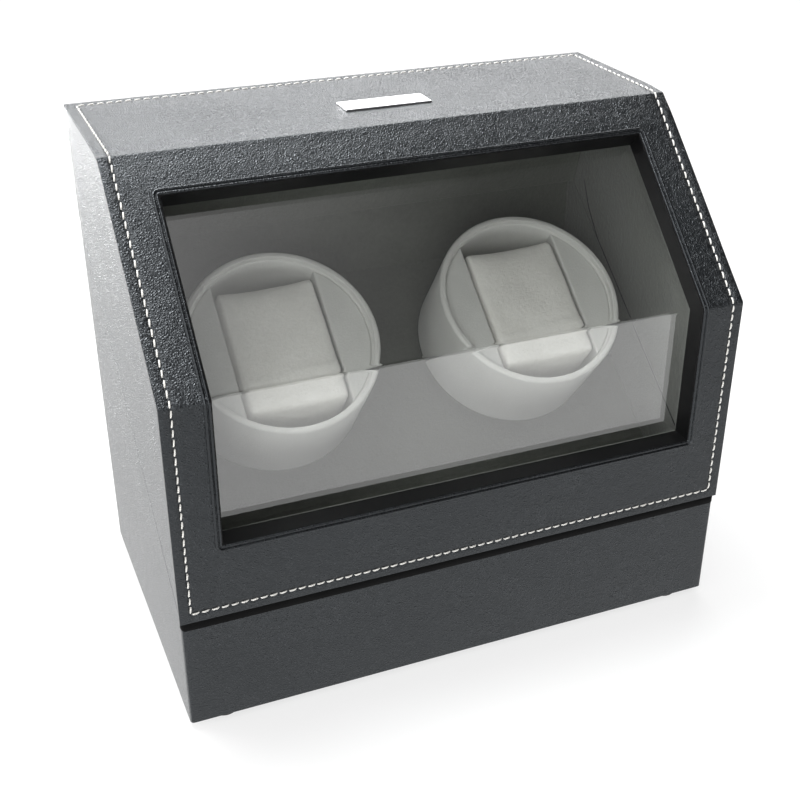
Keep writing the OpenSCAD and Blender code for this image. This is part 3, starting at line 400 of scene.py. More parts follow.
def leather_material(name, base, gloss, grain=1.0, specular=0.68, coat=0.0):
    """Coated leatherette: small pebbles, winding creases between them, a patchy sheen and painted shade darkening
    the creases.
    """
    n = Nodes(name)
    warp = n.add("TexNoise", {"Vector": n.coords, "Scale": 260.0, "Detail": 3.0})
    small = n.add("VectorMath", {0: warp.outputs["Color"], 1: (0.0014, 0.0014, 0.0014)},
                  operation="MULTIPLY")
    warped = n.add("VectorMath", {0: n.coords, 1: small.outputs["Vector"]}, operation="ADD")
    vector = warped.outputs["Vector"]
    pebble = n.ease(n.cells(1050.0, vector), 0.0, 0.42)
    long_crease = n.crease_lines(120.0, vector, 0.06)
    short_crease = n.crease_lines(330.0, vector, 0.1)
    patch = n.remap(n.noise(30.0, 3.0, 0.6), 0.36, 0.66)
    creases = n.math("ADD", long_crease, n.math("MULTIPLY", short_crease, 0.8))
    height = n.math("ADD", n.math("MULTIPLY", pebble, 1.1),
                    n.math("MULTIPLY", creases, n.remap(patch, 0.0, 1.0, 0.2, 0.8)))
    first = n.bump(height, 0.00011 * grain, 1.0)
    fine = n.bump(n.noise(2300.0, 3.0, 0.6), 0.00003, 0.6, first)
    n.link(fine, "Normal")
    n.link(fine, "Coat Normal")
    n.link(n.remap(height, 0.5, 2.2, gloss + 0.12, gloss - 0.04), "Roughness")
    # Painted shade: base colour halved where the grain's height is low, in its creases and between pebbles
    crease_shade = tuple(c * 0.5 for c in base)
    n.link(n.mix(n.remap(height, 0.4, 2.0), crease_shade, base), "Base Color")
    n.set(Specular_Tint=(0.87, 0.94, 1.0, 1.0))
    n.set(Specular_IOR_Level=specular, Coat_Weight=coat, Coat_Roughness=0.3)
    return n.material


def suede_material(name, base, light, scale=1.0, sheen=0.35, depth=0.00014):
    """Short brushed nap: mottled patches, fine fibres and a soft sheen."""
    n = Nodes(name)
    patch = n.remap(n.noise(34.0 * scale, 4.0, 0.6), 0.3, 0.72)
    nap = n.remap(n.noise(700.0 * scale, 4.0, 0.7), 0.3, 0.7)
    fibre = n.noise(2600.0, 3.0, 0.7, n.scaled((1.0, 0.6, 1.4)))
    tone = n.math("ADD", n.math("MULTIPLY", patch, 0.55), n.math("MULTIPLY", nap, 0.45))
    n.link(n.mix(tone, base, light), "Base Color")
    first = n.bump(nap, depth, 0.8)
    n.link(n.bump(fibre, 0.00008, 0.7, first), "Normal")
    n.link(n.remap(nap, 0.0, 1.0, 0.86, 1.0), "Roughness")
    n.set(Sheen_Weight=sheen, Sheen_Roughness=0.45, Specular_IOR_Level=0.15)
    return n.material


def plastic_material(name, base, roughness, texture=420.0, depth=0.00002, coat=0.0, specular=0.5):
    """Moulded plastic with a fine spark-eroded skin and faint handling marks."""
    n = Nodes(name)
    skin = n.noise(texture, 4.0, 0.6)
    marks = n.remap(n.noise(45.0, 5.0, 0.7, n.scaled((1.0, 1.0, 3.0))), 0.35, 0.7)
    n.link(n.mix(n.remap(skin, 0.3, 0.7), tuple(c * 0.85 for c in base), base), "Base Color")
    n.link(n.remap(marks, 0.0, 1.0, roughness - 0.04, roughness + 0.07), "Roughness")
    n.link(n.bump(skin, depth, 0.5), "Normal")
    n.set(Coat_Weight=coat, Specular_IOR_Level=specular)
    return n.material


def metal_material(name, base, roughness, brush=(1.0, 60.0, 60.0)):
    """Metal with brushed or drawn lines along one axis."""
    n = Nodes(name)
    lines = n.noise(60.0, 6.0, 0.7, n.scaled(brush))
    stain = n.remap(n.noise(70.0, 4.0, 0.6), 0.3, 0.75)
    n.link(n.mix(stain, tuple(c * 0.82 for c in base), base), "Base Color")
    n.link(n.remap(lines, 0.25, 0.75, roughness - 0.08, roughness + 0.1), "Roughness")
    n.link(n.bump(lines, 0.00002, 0.35), "Normal")
    n.set(Metallic=1.0)
    return n.material


def board_material(name, deep, middle, pale):
    """Fibreboard: short pale and dark fibres with a soft sanded surface."""
    n = Nodes(name)
    fibre = n.noise(900.0, 5.0, 0.75, n.scaled((0.5, 0.5, 2.2)))
    cloud = n.remap(n.noise(40.0, 3.0, 0.6), 0.3, 0.7)
    dark = n.mix(cloud, deep, middle)
    n.link(n.mix(n.remap(fibre, 0.35, 0.65), dark, pale), "Base Color")
    n.link(n.bump(fibre, 0.00006, 0.6), "Normal")
    n.link(n.remap(fibre, 0.3, 0.7, 0.82, 0.95), "Roughness")
    return n.material


def thread_material(name):
    """Waxed white thread with its twist."""
    n = Nodes(name)
    twist = n.add("TexWave", {"Vector": n.coords, "Scale": 700.0,
                              "Distortion": 1.5, "Detail": 2.0},
                  bands_direction="DIAGONAL").outputs["Fac"]
    n.link(n.mix(twist, (0.62, 0.6, 0.56), (0.86, 0.85, 0.82)), "Base Color")
    n.link(n.bump(twist, 0.00005, 0.7), "Normal")
    n.link(n.remap(twist, 0.0, 1.0, 0.6, 0.75), "Roughness")
    n.set(Sheen_Weight=0.25)
    return n.material


def pane_material(name):
    """Clear acrylic that lets lamp light through, with faint wiping haze."""
    n = Nodes(name)
    haze = n.remap(n.noise(60.0, 6.0, 0.7, n.scaled((1.0, 3.0, 1.0))), 0.5, 0.95)
    n.link(n.remap(haze, 0.0, 1.0, 0.0, 0.035), "Roughness")
    n.set(Base_Color=(0.985, 0.99, 0.988, 1.0))
    n.set(IOR=1.49, Transmission_Weight=1.0, Coat_Weight=1.0, Coat_IOR=1.8, Coat_Roughness=0.0)
    clear = n.add("BsdfTransparent", {"Color": (0.93, 0.94, 0.935, 1.0)})
    path = n.add("LightPath")
    through = n.math("MAXIMUM", path.outputs["Is Shadow Ray"], path.outputs["Is Diffuse Ray"])
    mixed = n.add("MixShader", {0: through, 1: n.shader.outputs[0], 2: clear.outputs[0]})
    output = n.tree.nodes["Material Output"]
    n.tree.links.new(mixed.outputs[0], output.inputs["Surface"])
    return n.material


def board_green_material(name):
    """Circuit board: solder mask over faint tracks."""
    n = Nodes(name)
    tracks = n.add("TexBrick", {"Vector": n.coords, "Scale": 260.0,
                                "Mortar Size": 0.03}).outputs["Fac"]
    n.link(n.mix(tracks, (0.012, 0.1, 0.035), (0.03, 0.2, 0.07)), "Base Color")
    n.link(n.bump(tracks, 0.00004, 0.5), "Normal")
    n.link(n.remap(n.noise(300.0), 0.3, 0.7, 0.25, 0.4), "Roughness")
    return n.material


def felt_material(name):
    """Black felt paper, also used for the painted shadow line in the gap where the linings meet."""
    n = Nodes(name)
    fibre = n.noise(1500.0, 5.0, 0.8)
    n.link(n.mix(n.remap(fibre, 0.3, 0.7), (0.008, 0.008, 0.009), (0.04, 0.04, 0.042)), "Base Color")
    n.link(n.bump(fibre, 0.0001, 0.8), "Normal")
    n.set(Sheen_Weight=0.3, Roughness=0.95)
    return n.material


LEATHER = leather_material("black_leatherette", (0.006, 0.0067, 0.0078), 0.27, 1.3)
# Lighter, glossier copy of the leatherette for the left and right sides: painted sheen where the lamps light them
LEATHER_SHEEN_SIDE = leather_material("black_leatherette_sheen_side", (0.009, 0.0095, 0.011), 0.3, 1.2,
                                0.95, 0.85)
EDGE_ROLL = leather_material("turned_edge", (0.004, 0.0042, 0.005), 0.2, 0.5)
CREAM = suede_material("cream_suede", (0.6, 0.59, 0.55), (0.78, 0.77, 0.73), 1.0, 0.25,
                       0.0002)
CUP_CREAM = suede_material("cup_flock", (0.5, 0.5, 0.475), (0.58, 0.58, 0.555), 1.6, 0.15)
GREY = suede_material("grey_suede", (0.095, 0.1, 0.086), (0.15, 0.155, 0.138), 0.8, 0.8)
GLOSS = plastic_material("gloss_black", (0.003, 0.003, 0.0033), 0.42, 90.0, 0.00001, 0.0, 0.16)
BLACK = plastic_material("black_plastic", (0.02, 0.02, 0.021), 0.4, 1400.0, 0.00004)
KNOB = plastic_material("knob_plastic", (0.05, 0.05, 0.055), 0.5, 1800.0, 0.00005)
RUBBER = plastic_material("rubber", (0.025, 0.025, 0.025), 0.82, 1100.0, 0.00006)
NYLON = plastic_material("nylon", (0.72, 0.7, 0.64), 0.45, 600.0, 0.00002)
JACKET = plastic_material("cell_jacket", (0.46, 0.3, 0.07), 0.3, 200.0, 0.00001, 0.3)
WIRE = plastic_material("wire_jacket", (0.42, 0.03, 0.025), 0.4, 700.0)
STRIP = plastic_material("strip_black", (0.012, 0.012, 0.012), 0.6, 900.0)
# Matt black of the painted shadow band under the lid's lip
LIP_SHADOW_BLACK = plastic_material("lip_shadow_black", (0.0015, 0.0015, 0.0017), 0.6, 900.0, 0.00004, 0.0, 0.1)
STEEL = metal_material("steel", (0.62, 0.62, 0.64), 0.32)
HINGE = metal_material("hinge_metal", (0.3, 0.3, 0.32), 0.34)
MOTOR = metal_material("motor_can", (0.55, 0.55, 0.57), 0.28)
CONTACT = metal_material("contact_metal", (0.72, 0.71, 0.69), 0.25)
BRASS = metal_material("brass", (0.72, 0.52, 0.22), 0.3)
PLATE = metal_material("nameplate_metal", (0.68, 0.68, 0.69), 0.38, (1.0, 90.0, 90.0))
BOARD = board_material("fibreboard", (0.27, 0.18, 0.1), (0.4, 0.28, 0.17), (0.52, 0.39, 0.25))
RIM_BOARD = board_material("black_fibreboard", (0.007, 0.007, 0.0075), (0.012, 0.012, 0.0125),
                           (0.028, 0.027, 0.026))
THREAD = thread_material("white_thread")
PANE = pane_material("clear_pane")
CIRCUIT = board_green_material("circuit_board")
# Felt for the underside, and the dark sheet of painted shadow in the linings' gap
FELT_AND_GAP_SHADE = felt_material("felt_paper_and_gap_shade")

SLOT_MATERIALS = {
    "board": BOARD, "black_leather": LEATHER, "underside_felt": FELT_AND_GAP_SHADE, "rubber": RUBBER,
    "grey_suede": GREY, "bush_nylon": NYLON, "steel": STEEL, "hinge_metal": HINGE,
    "motor_metal": MOTOR, "black_plastic": BLACK, "knob_plastic": KNOB, "cell_jacket": JACKET,
    "contact_metal": CONTACT, "circuit_board": CIRCUIT, "wire_jacket": WIRE, "magnet": CONTACT,
    "gloss_black": GLOSS, "clear_pane": PANE, "strip_black": STRIP, "white_thread": THREAD,
    "nameplate_metal": PLATE, "cup_cream": CUP_CREAM, "gear_nylon": NYLON, "brass": BRASS,
    "cushion_suede": CREAM,
}

# Rounding of the carried-over solids' edges, where it isn't the usual one
EDGE_ROUND = {
    "nameplate": 0.22, "lid_side_leather": 0.3, "lid_back_leather": 0.3,
    "base_lining": 0.3, "lid_lining": 0.6, "deck_suede": 0.3,
    "cup_insert_left": 0.9, "cup_insert_right": 0.9, "rubber_feet": 0.6, "battery_door": 0.4,
    "control_plate": 0.4, "power_rocker": 0.4, "mode_knob_left": 0.4, "mode_knob_right": 0.4,
    "hinge_leaves_base": 0.2, "hinge_leaves_lid": 0.2, "batteries": 0.8, "gearmotors": 0.6,
}
USUAL_ROUND = 0.15
LEFT_PLAIN = {"control_wires", "lid_stitching", "drive_wheel_left", "drive_wheel_right",
              "pinion_left", "pinion_right", "battery_contacts"}
# Boards whose rims show when the lid is open
RIM_BOARDS = ("base_left_board", "base_right_board", "base_front_board", "base_back_board",
              "lid_left_board", "lid_right_board", "lid_top_board", "lid_back_board",
              "lid_slant_frame", "lid_front_frame")
# Nodes that look other than their slot's usual material; the lid's sides take the lighter leatherette copy with
# painted sheen
NODE_MATERIALS = {"lid_side_leather": LEATHER_SHEEN_SIDE, "pane_retainers": GREY,
                  **dict.fromkeys(RIM_BOARDS, RIM_BOARD)}


def dress_nodes():
    """Each carried-over solid gets its slot's material and rounded edges."""
    for part in frame["record"]["subparts"]:
        name = part["node"]
        obj = nodes[name]
        material = NODE_MATERIALS.get(name, SLOT_MATERIALS[part["material_slot"]])
        if not obj.material_slots:
            obj.data.materials.append(material)
        for slot in obj.material_slots:
            slot.material = material
        if name in LEFT_PLAIN:
            continue
        modifier(obj, "WELD", merge_threshold=2e-6)
        modifier(obj, "DECIMATE", decimate_type="DISSOLVE", angle_limit=math.radians(0.4))
        modifier(obj, "BEVEL", width=EDGE_ROUND.get(name, USUAL_ROUND) * MM, segments=3,
                 limit_method="ANGLE", angle_limit=math.radians(35), harden_normals=False)
        modifier(obj, "WEIGHTED_NORMAL", keep_sharp=True)


# ---- lid covering, bead, thread and pane ----

def make_wrap():
    """Covering of the lid's front, slope and top in one sheet, with the window cut out."""
    step = 1.35 * MM
    near = [-1.2 * MM, -0.5 * MM, 0.0, 0.5 * MM, 1.2 * MM]
    half = sorted([0.0, WIN_X, HALF_W] + [STITCH_X + d for d in near])
    columns = spaced(half, step)
    columns = [-x for x in reversed(columns[1:])] + columns
    stops = OUTER.stops() + [S_WIN_LOW, S_WIN_HIGH]
    stops += [S_STITCH_LOW + d for d in near] + [S_STITCH_HIGH + d for d in near]
    stops.sort()
    rows = []
    for a, b in zip(stops, stops[1:]):
        bend = any(abs(a - part[0]) < 1e-9 and part[2] == "arc" for part in OUTER.parts)
        rows += spaced([a, b], 0.35 * MM if bend else step)[:-1]
    rows.append(stops[-1])

    def point(s, x):
        return OUTER.place(x, s, leather_height(x, s))

    def in_window(s0, s1, x0, x1):
        middle_s = (s0 + s1) / 2
        middle_x = (x0 + x1) / 2
        return abs(middle_x) < WIN_X and S_WIN_LOW < middle_s < S_WIN_HIGH

    wrap = grid_mesh("lid_covering", point, rows, columns, in_window)
    modifier(wrap, "SOLIDIFY", thickness=WRAP_T, offset=-1.0, use_even_offset=True)
    modifier(wrap, "BEVEL", width=0.45 * MM, segments=3, limit_method="ANGLE",
             angle_limit=math.radians(50))
    apply_modifiers(wrap)
    finish_piece(wrap, "lid", LEATHER, ["lid_leather_wrap"])


def window_loop(offset, corner):
    """Closed loop round the window, in x and distance along the profile."""
    x_edge = WIN_X + offset
    low = S_WIN_LOW - offset
    high = S_WIN_HIGH + offset
    radius = corner + offset
    loop = []
    for cx, cs, start in ((x_edge - radius, low + radius, -90), (x_edge - radius, high - radius, 0),
                          (radius - x_edge, high - radius, 90), (radius - x_edge, low + radius, 180)):
        loop += arc_points(cx, cs, radius, start, start + 90, 6)
        if start == -90:
            loop += [(x_edge, s) for s in spaced([low + radius, FRONT_END, SLOPE_START,
                                                  high - radius], 3 * MM)[1:-1]]
        elif start == 0:
            loop += [(x, high) for x in spaced([radius - x_edge, x_edge - radius], 4 * MM)[-2:0:-1]]
        elif start == 90:
            loop += [(-x_edge, s) for s in spaced([low + radius, FRONT_END, SLOPE_START,
                                                   high - radius], 3 * MM)[-2:0:-1]]
        else:
            loop += [(x, low) for x in spaced([radius - x_edge, x_edge - radius], 4 * MM)[1:-1]]
    return loop


def make_bead():
    """Turned edge of the covering: two narrow rolls with a groove between them."""
    section = [(-0.35, -1.6), (-0.3, -0.2), (-0.1, 0.3), (0.3, 0.5), (0.75, 0.42), (0.98, 0.05),
               (1.15, -0.12), (1.32, 0.08), (1.5, 0.5), (1.85, 0.68), (2.3, 0.5), (2.6, 0.1),
               (2.85, -0.25)]
    corner = 0.6 * MM
    verts = []
    count = len(window_loop(0.0, corner))
    for offset, height in section:
        for x, s in window_loop(offset * MM, corner):
            tremble = noise.noise(Vector((x * 220, s * 220, 5.0))) * 0.05 * MM
            verts.append(OUTER.place(x, s, height * MM + tremble))
    faces = ring_faces(len(section), count, closed=True)
    bead = new_mesh("window_turned_edge", verts, faces)
    modifier(bead, "SUBSURF", levels=1, render_levels=1)
    apply_modifiers(bead)
    finish_piece(bead, "lid", EDGE_ROLL, ["window_bead"])


def add_stitch(verts, faces, frame_at, along, length):
    """One stitch: an arched strand whose ends dive into the covering."""
    rings = 9
    sides = 8
    first = len(verts)
    for i in range(rings):
        t = i / (rings - 1) * 2 - 1
        arch = (1 - t ** 4) * 0.42 * MM - 0.38 * MM
        radius = THREAD_R * (1.25 - 0.35 * t ** 4)
        for k in range(sides):
            angle = 2 * math.pi * k / sides
            verts.append(frame_at(along + t * length / 2,
                                  radius * math.cos(angle) + t * length / 2 * math.tan(STITCH_SLANT),
                                  arch + radius * math.sin(angle)))
    faces += ring_faces(rings, sides, first)
    faces.append(tuple(first + k for k in reversed(range(sides))))
    faces.append(tuple(first + (rings - 1) * sides + k for k in range(sides)))


def make_thread():
    """White stitches down both sides of the lid and across its lower and back edges."""
    verts, faces = [], []

    def run(start, end, frame_at):
        count = math.floor((end - start) / STITCH_PITCH)
        step = (end - start) / count
        for i in range(count):
            add_stitch(verts, faces, frame_at, start + (i + 0.5) * step, STITCH_L)

    for side in (-1, 1):
        x = side * STITCH_X
        run(S_STITCH_LOW, S_STITCH_HIGH,
            lambda along, across, up, x=x: OUTER.place(x + across, along, up))
    for s in (S_STITCH_LOW, S_STITCH_HIGH):
        run(-STITCH_X, STITCH_X,
            lambda along, across, up, s=s: OUTER.place(along, s + across, up))
    thread = new_mesh("lid_thread", verts, faces)
    finish_piece(thread, "lid", THREAD, ["lid_stitching"])


def make_pane():
    """Bent sheet with a small radius at the bend."""
    inner_r = 0.5 * MM
    outer = Profile(PANE_D, inner_r + PANE_T)
    inner = Profile(PANE_D + PANE_T, inner_r)

    def line(profile):
        knee = (profile.parts[0][1], profile.parts[2][0])
        base = profile.corners[0].y
        start = WIN_LOW_Z - PANE_LAP - base
        end = (knee[0] + knee[1]) / 2 + WIN_UP + PANE_LAP
        bend = [knee[0] + (knee[1] - knee[0]) * i / 10 for i in range(11)]
        return [profile.at(s)[0] for s in [start] + bend + [end]]

    half = WIN_X + PANE_LAP
    ring = line(outer) + list(reversed(line(inner)))
    count = len(ring)
    verts = [(x, p.x, p.y) for x in (-half, half) for p in ring]
    faces = [(k, (k + 1) % count, count + (k + 1) % count, count + k) for k in range(count)]
    strips = count // 2
    for side in (0, count):
        for k in range(strips - 1):
            quad = (side + k, side + k + 1, side + count - 2 - k, side + count - 1 - k)
            faces.append(quad if side else tuple(reversed(quad)))
    pane = new_mesh("bent_pane", verts, faces)
    mesh = bmesh.new()
    mesh.from_mesh(pane.data)
    bmesh.ops.recalc_face_normals(mesh, faces=mesh.faces)
    mesh.to_mesh(pane.data)
    mesh.free()
    pane.data.set_sharp_from_angle(angle=math.radians(30))
    finish_piece(pane, "lid", PANE, ["window_pane"])


# ---- base covering ----

def make_base_covering():
    """Covering round the base with rounded corners, open at the back for the tray and recess."""
    tray_low, tray_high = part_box("battery_tray")
    plate_low, plate_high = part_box("control_plate")
    flange = 5 * MM
    holes = [(tray_low[0], tray_high[0], tray_low[2], tray_high[2]),
             (plate_low[0] + flange, plate_high[0] - flange,
              plate_low[2] + flange, plate_high[2] - flange)]

    def corner(cx, cy, start):
        return arc_points(cx, cy, BASE_CORNER_R, start, start + 90, 6)

    step = 3 * MM
    inner_x = BASE_X - BASE_CORNER_R
    low_y, high_y = BASE_FRONT_Y + BASE_CORNER_R, BACK_Y - BASE_CORNER_R
    back_stops = sorted([-inner_x, inner_x] + [x for hole in holes for x in hole[:2]])
    loop = [(x, BASE_FRONT_Y) for x in spaced([-inner_x, inner_x], step)[1:-1]]
    loop += corner(inner_x, low_y, -90)
    loop += [(BASE_X, y) for y in spaced([low_y, high_y], step)[1:-1]]
    loop += corner(inner_x, high_y, 0)
    loop += [(x, BACK_Y) for x in reversed(spaced(back_stops, step)[1:-1])]
    loop += corner(-inner_x, high_y, 90)
    loop += [(-BASE_X, y) for y in reversed(spaced([low_y, high_y], step)[1:-1])]
    loop += corner(-inner_x, low_y, 180)
    stops = sorted([BASE_LOW_Z, BASE_TOP_Z] + [z for hole in holes for z in hole[2:]])
    levels = [(z - BASE_LOW_Z) / (BASE_TOP_Z - BASE_LOW_Z) for z in spaced(stops, 3.2 * MM)]

    def point(level, place):
        x, y = place
        top = split_z(y)
        z = BASE_LOW_Z + (top - BASE_LOW_Z) * level
        wave = noise.noise(Vector((x * 40, y * 40 + 7, z * 40))) * 0.05 * MM - 0.05 * MM
        out = Vector((x, y)).normalized()
        return (x + out.x * wave, y + out.y * wave, z)

    def in_hole(l0, l1, p0, p1):
        if min(p0[1], p1[1]) < BACK_Y - 1e-6:
            return False
        z = BASE_LOW_Z + (BASE_TOP_Z - BASE_LOW_Z) * (l0 + l1) / 2
        x = (p0[0] + p1[0]) / 2
        return any(h[0] < x < h[1] and h[2] < z < h[3] for h in holes)

    cover = grid_mesh("base_covering", point, levels, loop, in_hole, closed=True)
    modifier(cover, "SOLIDIFY", thickness=LEATHER_T, offset=-1.0)
    modifier(cover, "BEVEL", width=0.35 * MM, segments=3, limit_method="ANGLE",
             angle_limit=math.radians(50))
    apply_modifiers(cover)
    finish_piece(cover, "base", LEATHER, ["base_leather"])
    # The left and right faces take the lighter, glossier leatherette copy: painted sheen
    cover.data.materials.append(LEATHER_SHEEN_SIDE)
    for face in cover.data.polygons:
        if abs(face.normal.x) > 0.7:
            face.material_index = 1


def make_lip_shadow_band():
    """Painted shadow: a black band along the base's upper edge, standing in for the shade under the lid's lip."""
    proud = 0.12 * MM
    drop = 4.2 * MM
    low_y = BASE_FRONT_Y + BASE_CORNER_R
    inner_x = BASE_X - BASE_CORNER_R
    path = [(x, BASE_FRONT_Y - proud) for x in spaced([-inner_x, inner_x], 6 * MM)]
    right = arc_points(inner_x, low_y, BASE_CORNER_R + proud, -90, 0, 6)[1:]
    left = [(-x, y) for x, y in reversed(right)]
    path = left + path + right
    section = [(0.0, -drop), (1.0, 0.12 * MM - drop), (1.0, -0.3 * MM), (-4.0, -0.05 * MM)]

    def point(k, place):
        share, down = section[k]
        x, y = place
        out = Vector((x, y)).normalized() * proud * (share - 1.0)
        return (x + out.x, y + out.y, split_z(y) + down)

    shadow_band = grid_mesh("base_lip_shadow_band", point, list(range(len(section))), path)
    modifier(shadow_band, "SOLIDIFY", thickness=0.1 * MM, offset=0.0)
    apply_modifiers(shadow_band)
    finish_piece(shadow_band, "base", LIP_SHADOW_BLACK)


def make_lining_shadow_lines():
    """Painted shadow: a dark line on each inner wall where the lid's lining meets the base's, with its kink,
    standing in for the shade in the gap.
    """
    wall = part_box("lid_lining")[1][0] - LINING_T - 0.15 * MM
    half_w = 0.22 * MM
    run = [Vector((BACK_Y - 24 * MM, 12 * MM)), Vector((BACK_Y - 30 * MM, 5 * MM)),
           Vector((BACK_Y - 40 * MM, 0.8 * MM)), Vector((FRONT_Y + 16 * MM, 0.8 * MM))]
    for side in (-1, 1):
        verts, faces = [], []
        for y, up in run:
            tremble = 0.5 * MM * noise.noise(Vector((y * 90, side, 3.0)))
            z = split_z(y) + up + tremble
            verts += [(side * wall, y, z - half_w), (side * wall, y, z + half_w)]
        for k in range(len(run) - 1):
            faces.append((2 * k, 2 * k + 2, 2 * k + 3, 2 * k + 1))
        shadow_strip = new_mesh("lining_seam_%s" % ("right" if side > 0 else "left"), verts, faces)
        modifier(shadow_strip, "SOLIDIFY", thickness=0.34 * MM, offset=0.0)
        apply_modifiers(shadow_strip)
        finish_piece(shadow_strip, "lid", FELT_AND_GAP_SHADE)


# ---- cups and cushions ----

def cup_matrix(side):
    """Frame of a cup: z is its axis, zero on the split plane."""
    joint = joints["cup_%s_spin" % side]
    axis = Vector(joint["axis"]).normalized()
    across = Vector((1.0, 0.0, 0.0))
    up = axis.cross(across)
    turn = Matrix((across, up, axis)).transposed().to_4x4()
    return Matrix.Translation(Vector(joint["pos_m"])) @ turn


def make_cup(side):
    """Moulded cup with a rounded rim and a step inside it."""
    low = RIM_UP - CUP_H
    lip = 1.25 * MM
    step_d = 2.6 * MM
    step_w = 0.7 * MM
    inner = CUP_R - CUP_WALL
    boss_r = 8 * MM
    boss_z = boss_low()
    section = [(CUP_BORE_R, boss_z), (boss_r - 0.6 * MM, boss_z)]
    section += arc_points(boss_r - 0.6 * MM, boss_z + 0.6 * MM, 0.6 * MM, -90, 0, 4)
    section += arc_points(boss_r + 1.2 * MM, low - 1.2 * MM, 1.2 * MM, 180, 90, 5)
    section += arc_points(CUP_BASE_R - 2.2 * MM, low + 2.2 * MM, 2.2 * MM, -90, 0, 8)
    section += arc_points(CUP_R - lip, RIM_UP - lip, lip, 0, 90, 7)
    section += arc_points(inner + 0.5 * MM, RIM_UP - 0.5 * MM, 0.5 * MM, 90, 180, 4)
    section += [(inner, RIM_UP - step_d + 0.3 * MM), (inner - 0.1 * MM, RIM_UP - step_d),
                (inner - step_w + 0.3 * MM, RIM_UP - step_d - 0.1 * MM),
                (inner - step_w, RIM_UP - step_d - 0.5 * MM)]
    floor_z = low + CUP_FLOOR
    wall = CUP_BASE_R - CUP_WALL
    section += arc_points(wall - 1.6 * MM, floor_z + 1.6 * MM, 1.6 * MM, 0, -90, 6)
    section += [(20 * MM, floor_z), (0.01 * MM, floor_z)]
    place = cup_matrix(side)

    def point(index, turn):
        radius, z = section[index]
        angle = 2 * math.pi * turn / CUP_STEPS
        return place @ Vector((radius * math.cos(angle), radius * math.sin(angle), z))

    cup = grid_mesh("cup_shell_" + side, point, list(range(len(section))),
                    list(range(CUP_STEPS)), closed=True)
    cup.data.flip_normals()
    close_holes(cup)
    finish_piece(cup, "cup_" + side, CUP_CREAM, ["cup_" + side])


def boss_low():
    """Lower end of a cup's boss along its axis, from the deck's flange up."""
    bush_flange_t = 1.5 * MM
    deck_down = 28.4 * MM
    return bush_flange_t + RUN_GAP - deck_down


def cushion_form():
    """Closed block in the cup's frame, a little smaller than the finished pad."""
    shrink = 1.7 * MM
    half = CUSHION_W / 2 - shrink
    z0 = CUSHION_BASE + shrink
    z1 = RIM_UP - CUSHION_DOWN - shrink * 1.2
    low, high = -CUSHION_LOW + shrink, CUSHION_UP - shrink
    radius = 2.6 * MM
    outline = []
    for cu, cz, start in ((low + radius, z0 + radius, 180), (high - radius, z0 + radius, 270),
                          (high - radius, z1 - CUSHION_DROP - radius, 0),
                          (low + radius, z1 - radius, 90)):
        outline += arc_points(cu, cz, radius, start, start + 90, 5)
    ring = []
    count = len(outline)
    for k in range(count):
        a, b = Vector(outline[k]), Vector(outline[(k + 1) % count])
        pieces = max(1, round((b - a).length / (3 * MM)))
        ring += [a + (b - a) * i / pieces for i in range(pieces)]
    columns = spaced([-half, half], 3 * MM)
    verts = [(x, p.x, p.y) for x in columns for p in ring]
    count = len(ring)
    faces = ring_faces(len(columns), count)
    faces.append(tuple(reversed(range(count))))
    faces.append(tuple((len(columns) - 1) * count + k for k in range(count)))
    return new_mesh("cushion_form", verts, faces)


def inflate(obj):
    """Cloth under pressure, with how far a point may move capped."""
    start = [v.co.copy() for v in obj.data.vertices]
    cloth = obj.modifiers.new("cloth", "CLOTH")
    cloth.settings.quality = 6
    cloth.settings.mass = 0.15
    cloth.settings.tension_stiffness = 25
    cloth.settings.compression_stiffness = 25
    cloth.settings.bending_stiffness = 2.0
    cloth.settings.use_pressure = True
    cloth.settings.uniform_pressure_force = CLOTH_PRESSURE
    cloth.settings.effector_weights.gravity = 0
    scene = bpy.context.scene
    for step in range(1, CLOTH_FRAMES + 1):
        scene.frame_set(step)
    apply_modifiers(obj)
    scene.frame_set(1)
    for vertex, before in zip(obj.data.vertices, start):
        move = vertex.co - before
        if move.length > CLOTH_CAP:
            vertex.co = before + move.normalized() * CLOTH_CAP


def fill_space(obj):
    """Stretches the pad along each axis to fill the space it sits in."""
    half = CUSHION_W / 2
    goal_low = (-half, -CUSHION_LOW, CUSHION_BASE)
    goal_high = (half, CUSHION_UP + CUSHION_PLUMP, RIM_UP - CUSHION_DOWN)
    places = [vertex.co for vertex in obj.data.vertices]
    for i in range(3):
        low = min(co[i] for co in places)
        high = max(co[i] for co in places)
        scale = (goal_high[i] - goal_low[i]) / (high - low)
        for co in places:
            co[i] = goal_low[i] + (co[i] - low) * scale


def cushion_limits(co):
    """Keeps the pad clear of its insert and of the cup's floor and wall."""
    half = CUSHION_W / 2
    co.x = max(-half, min(half, co.x))
    co.y = max(-CUSHION_LOW, min(CUSHION_UP + CUSHION_PLUMP, co.y))
    co.z = max(CUSHION_BASE, co.z)


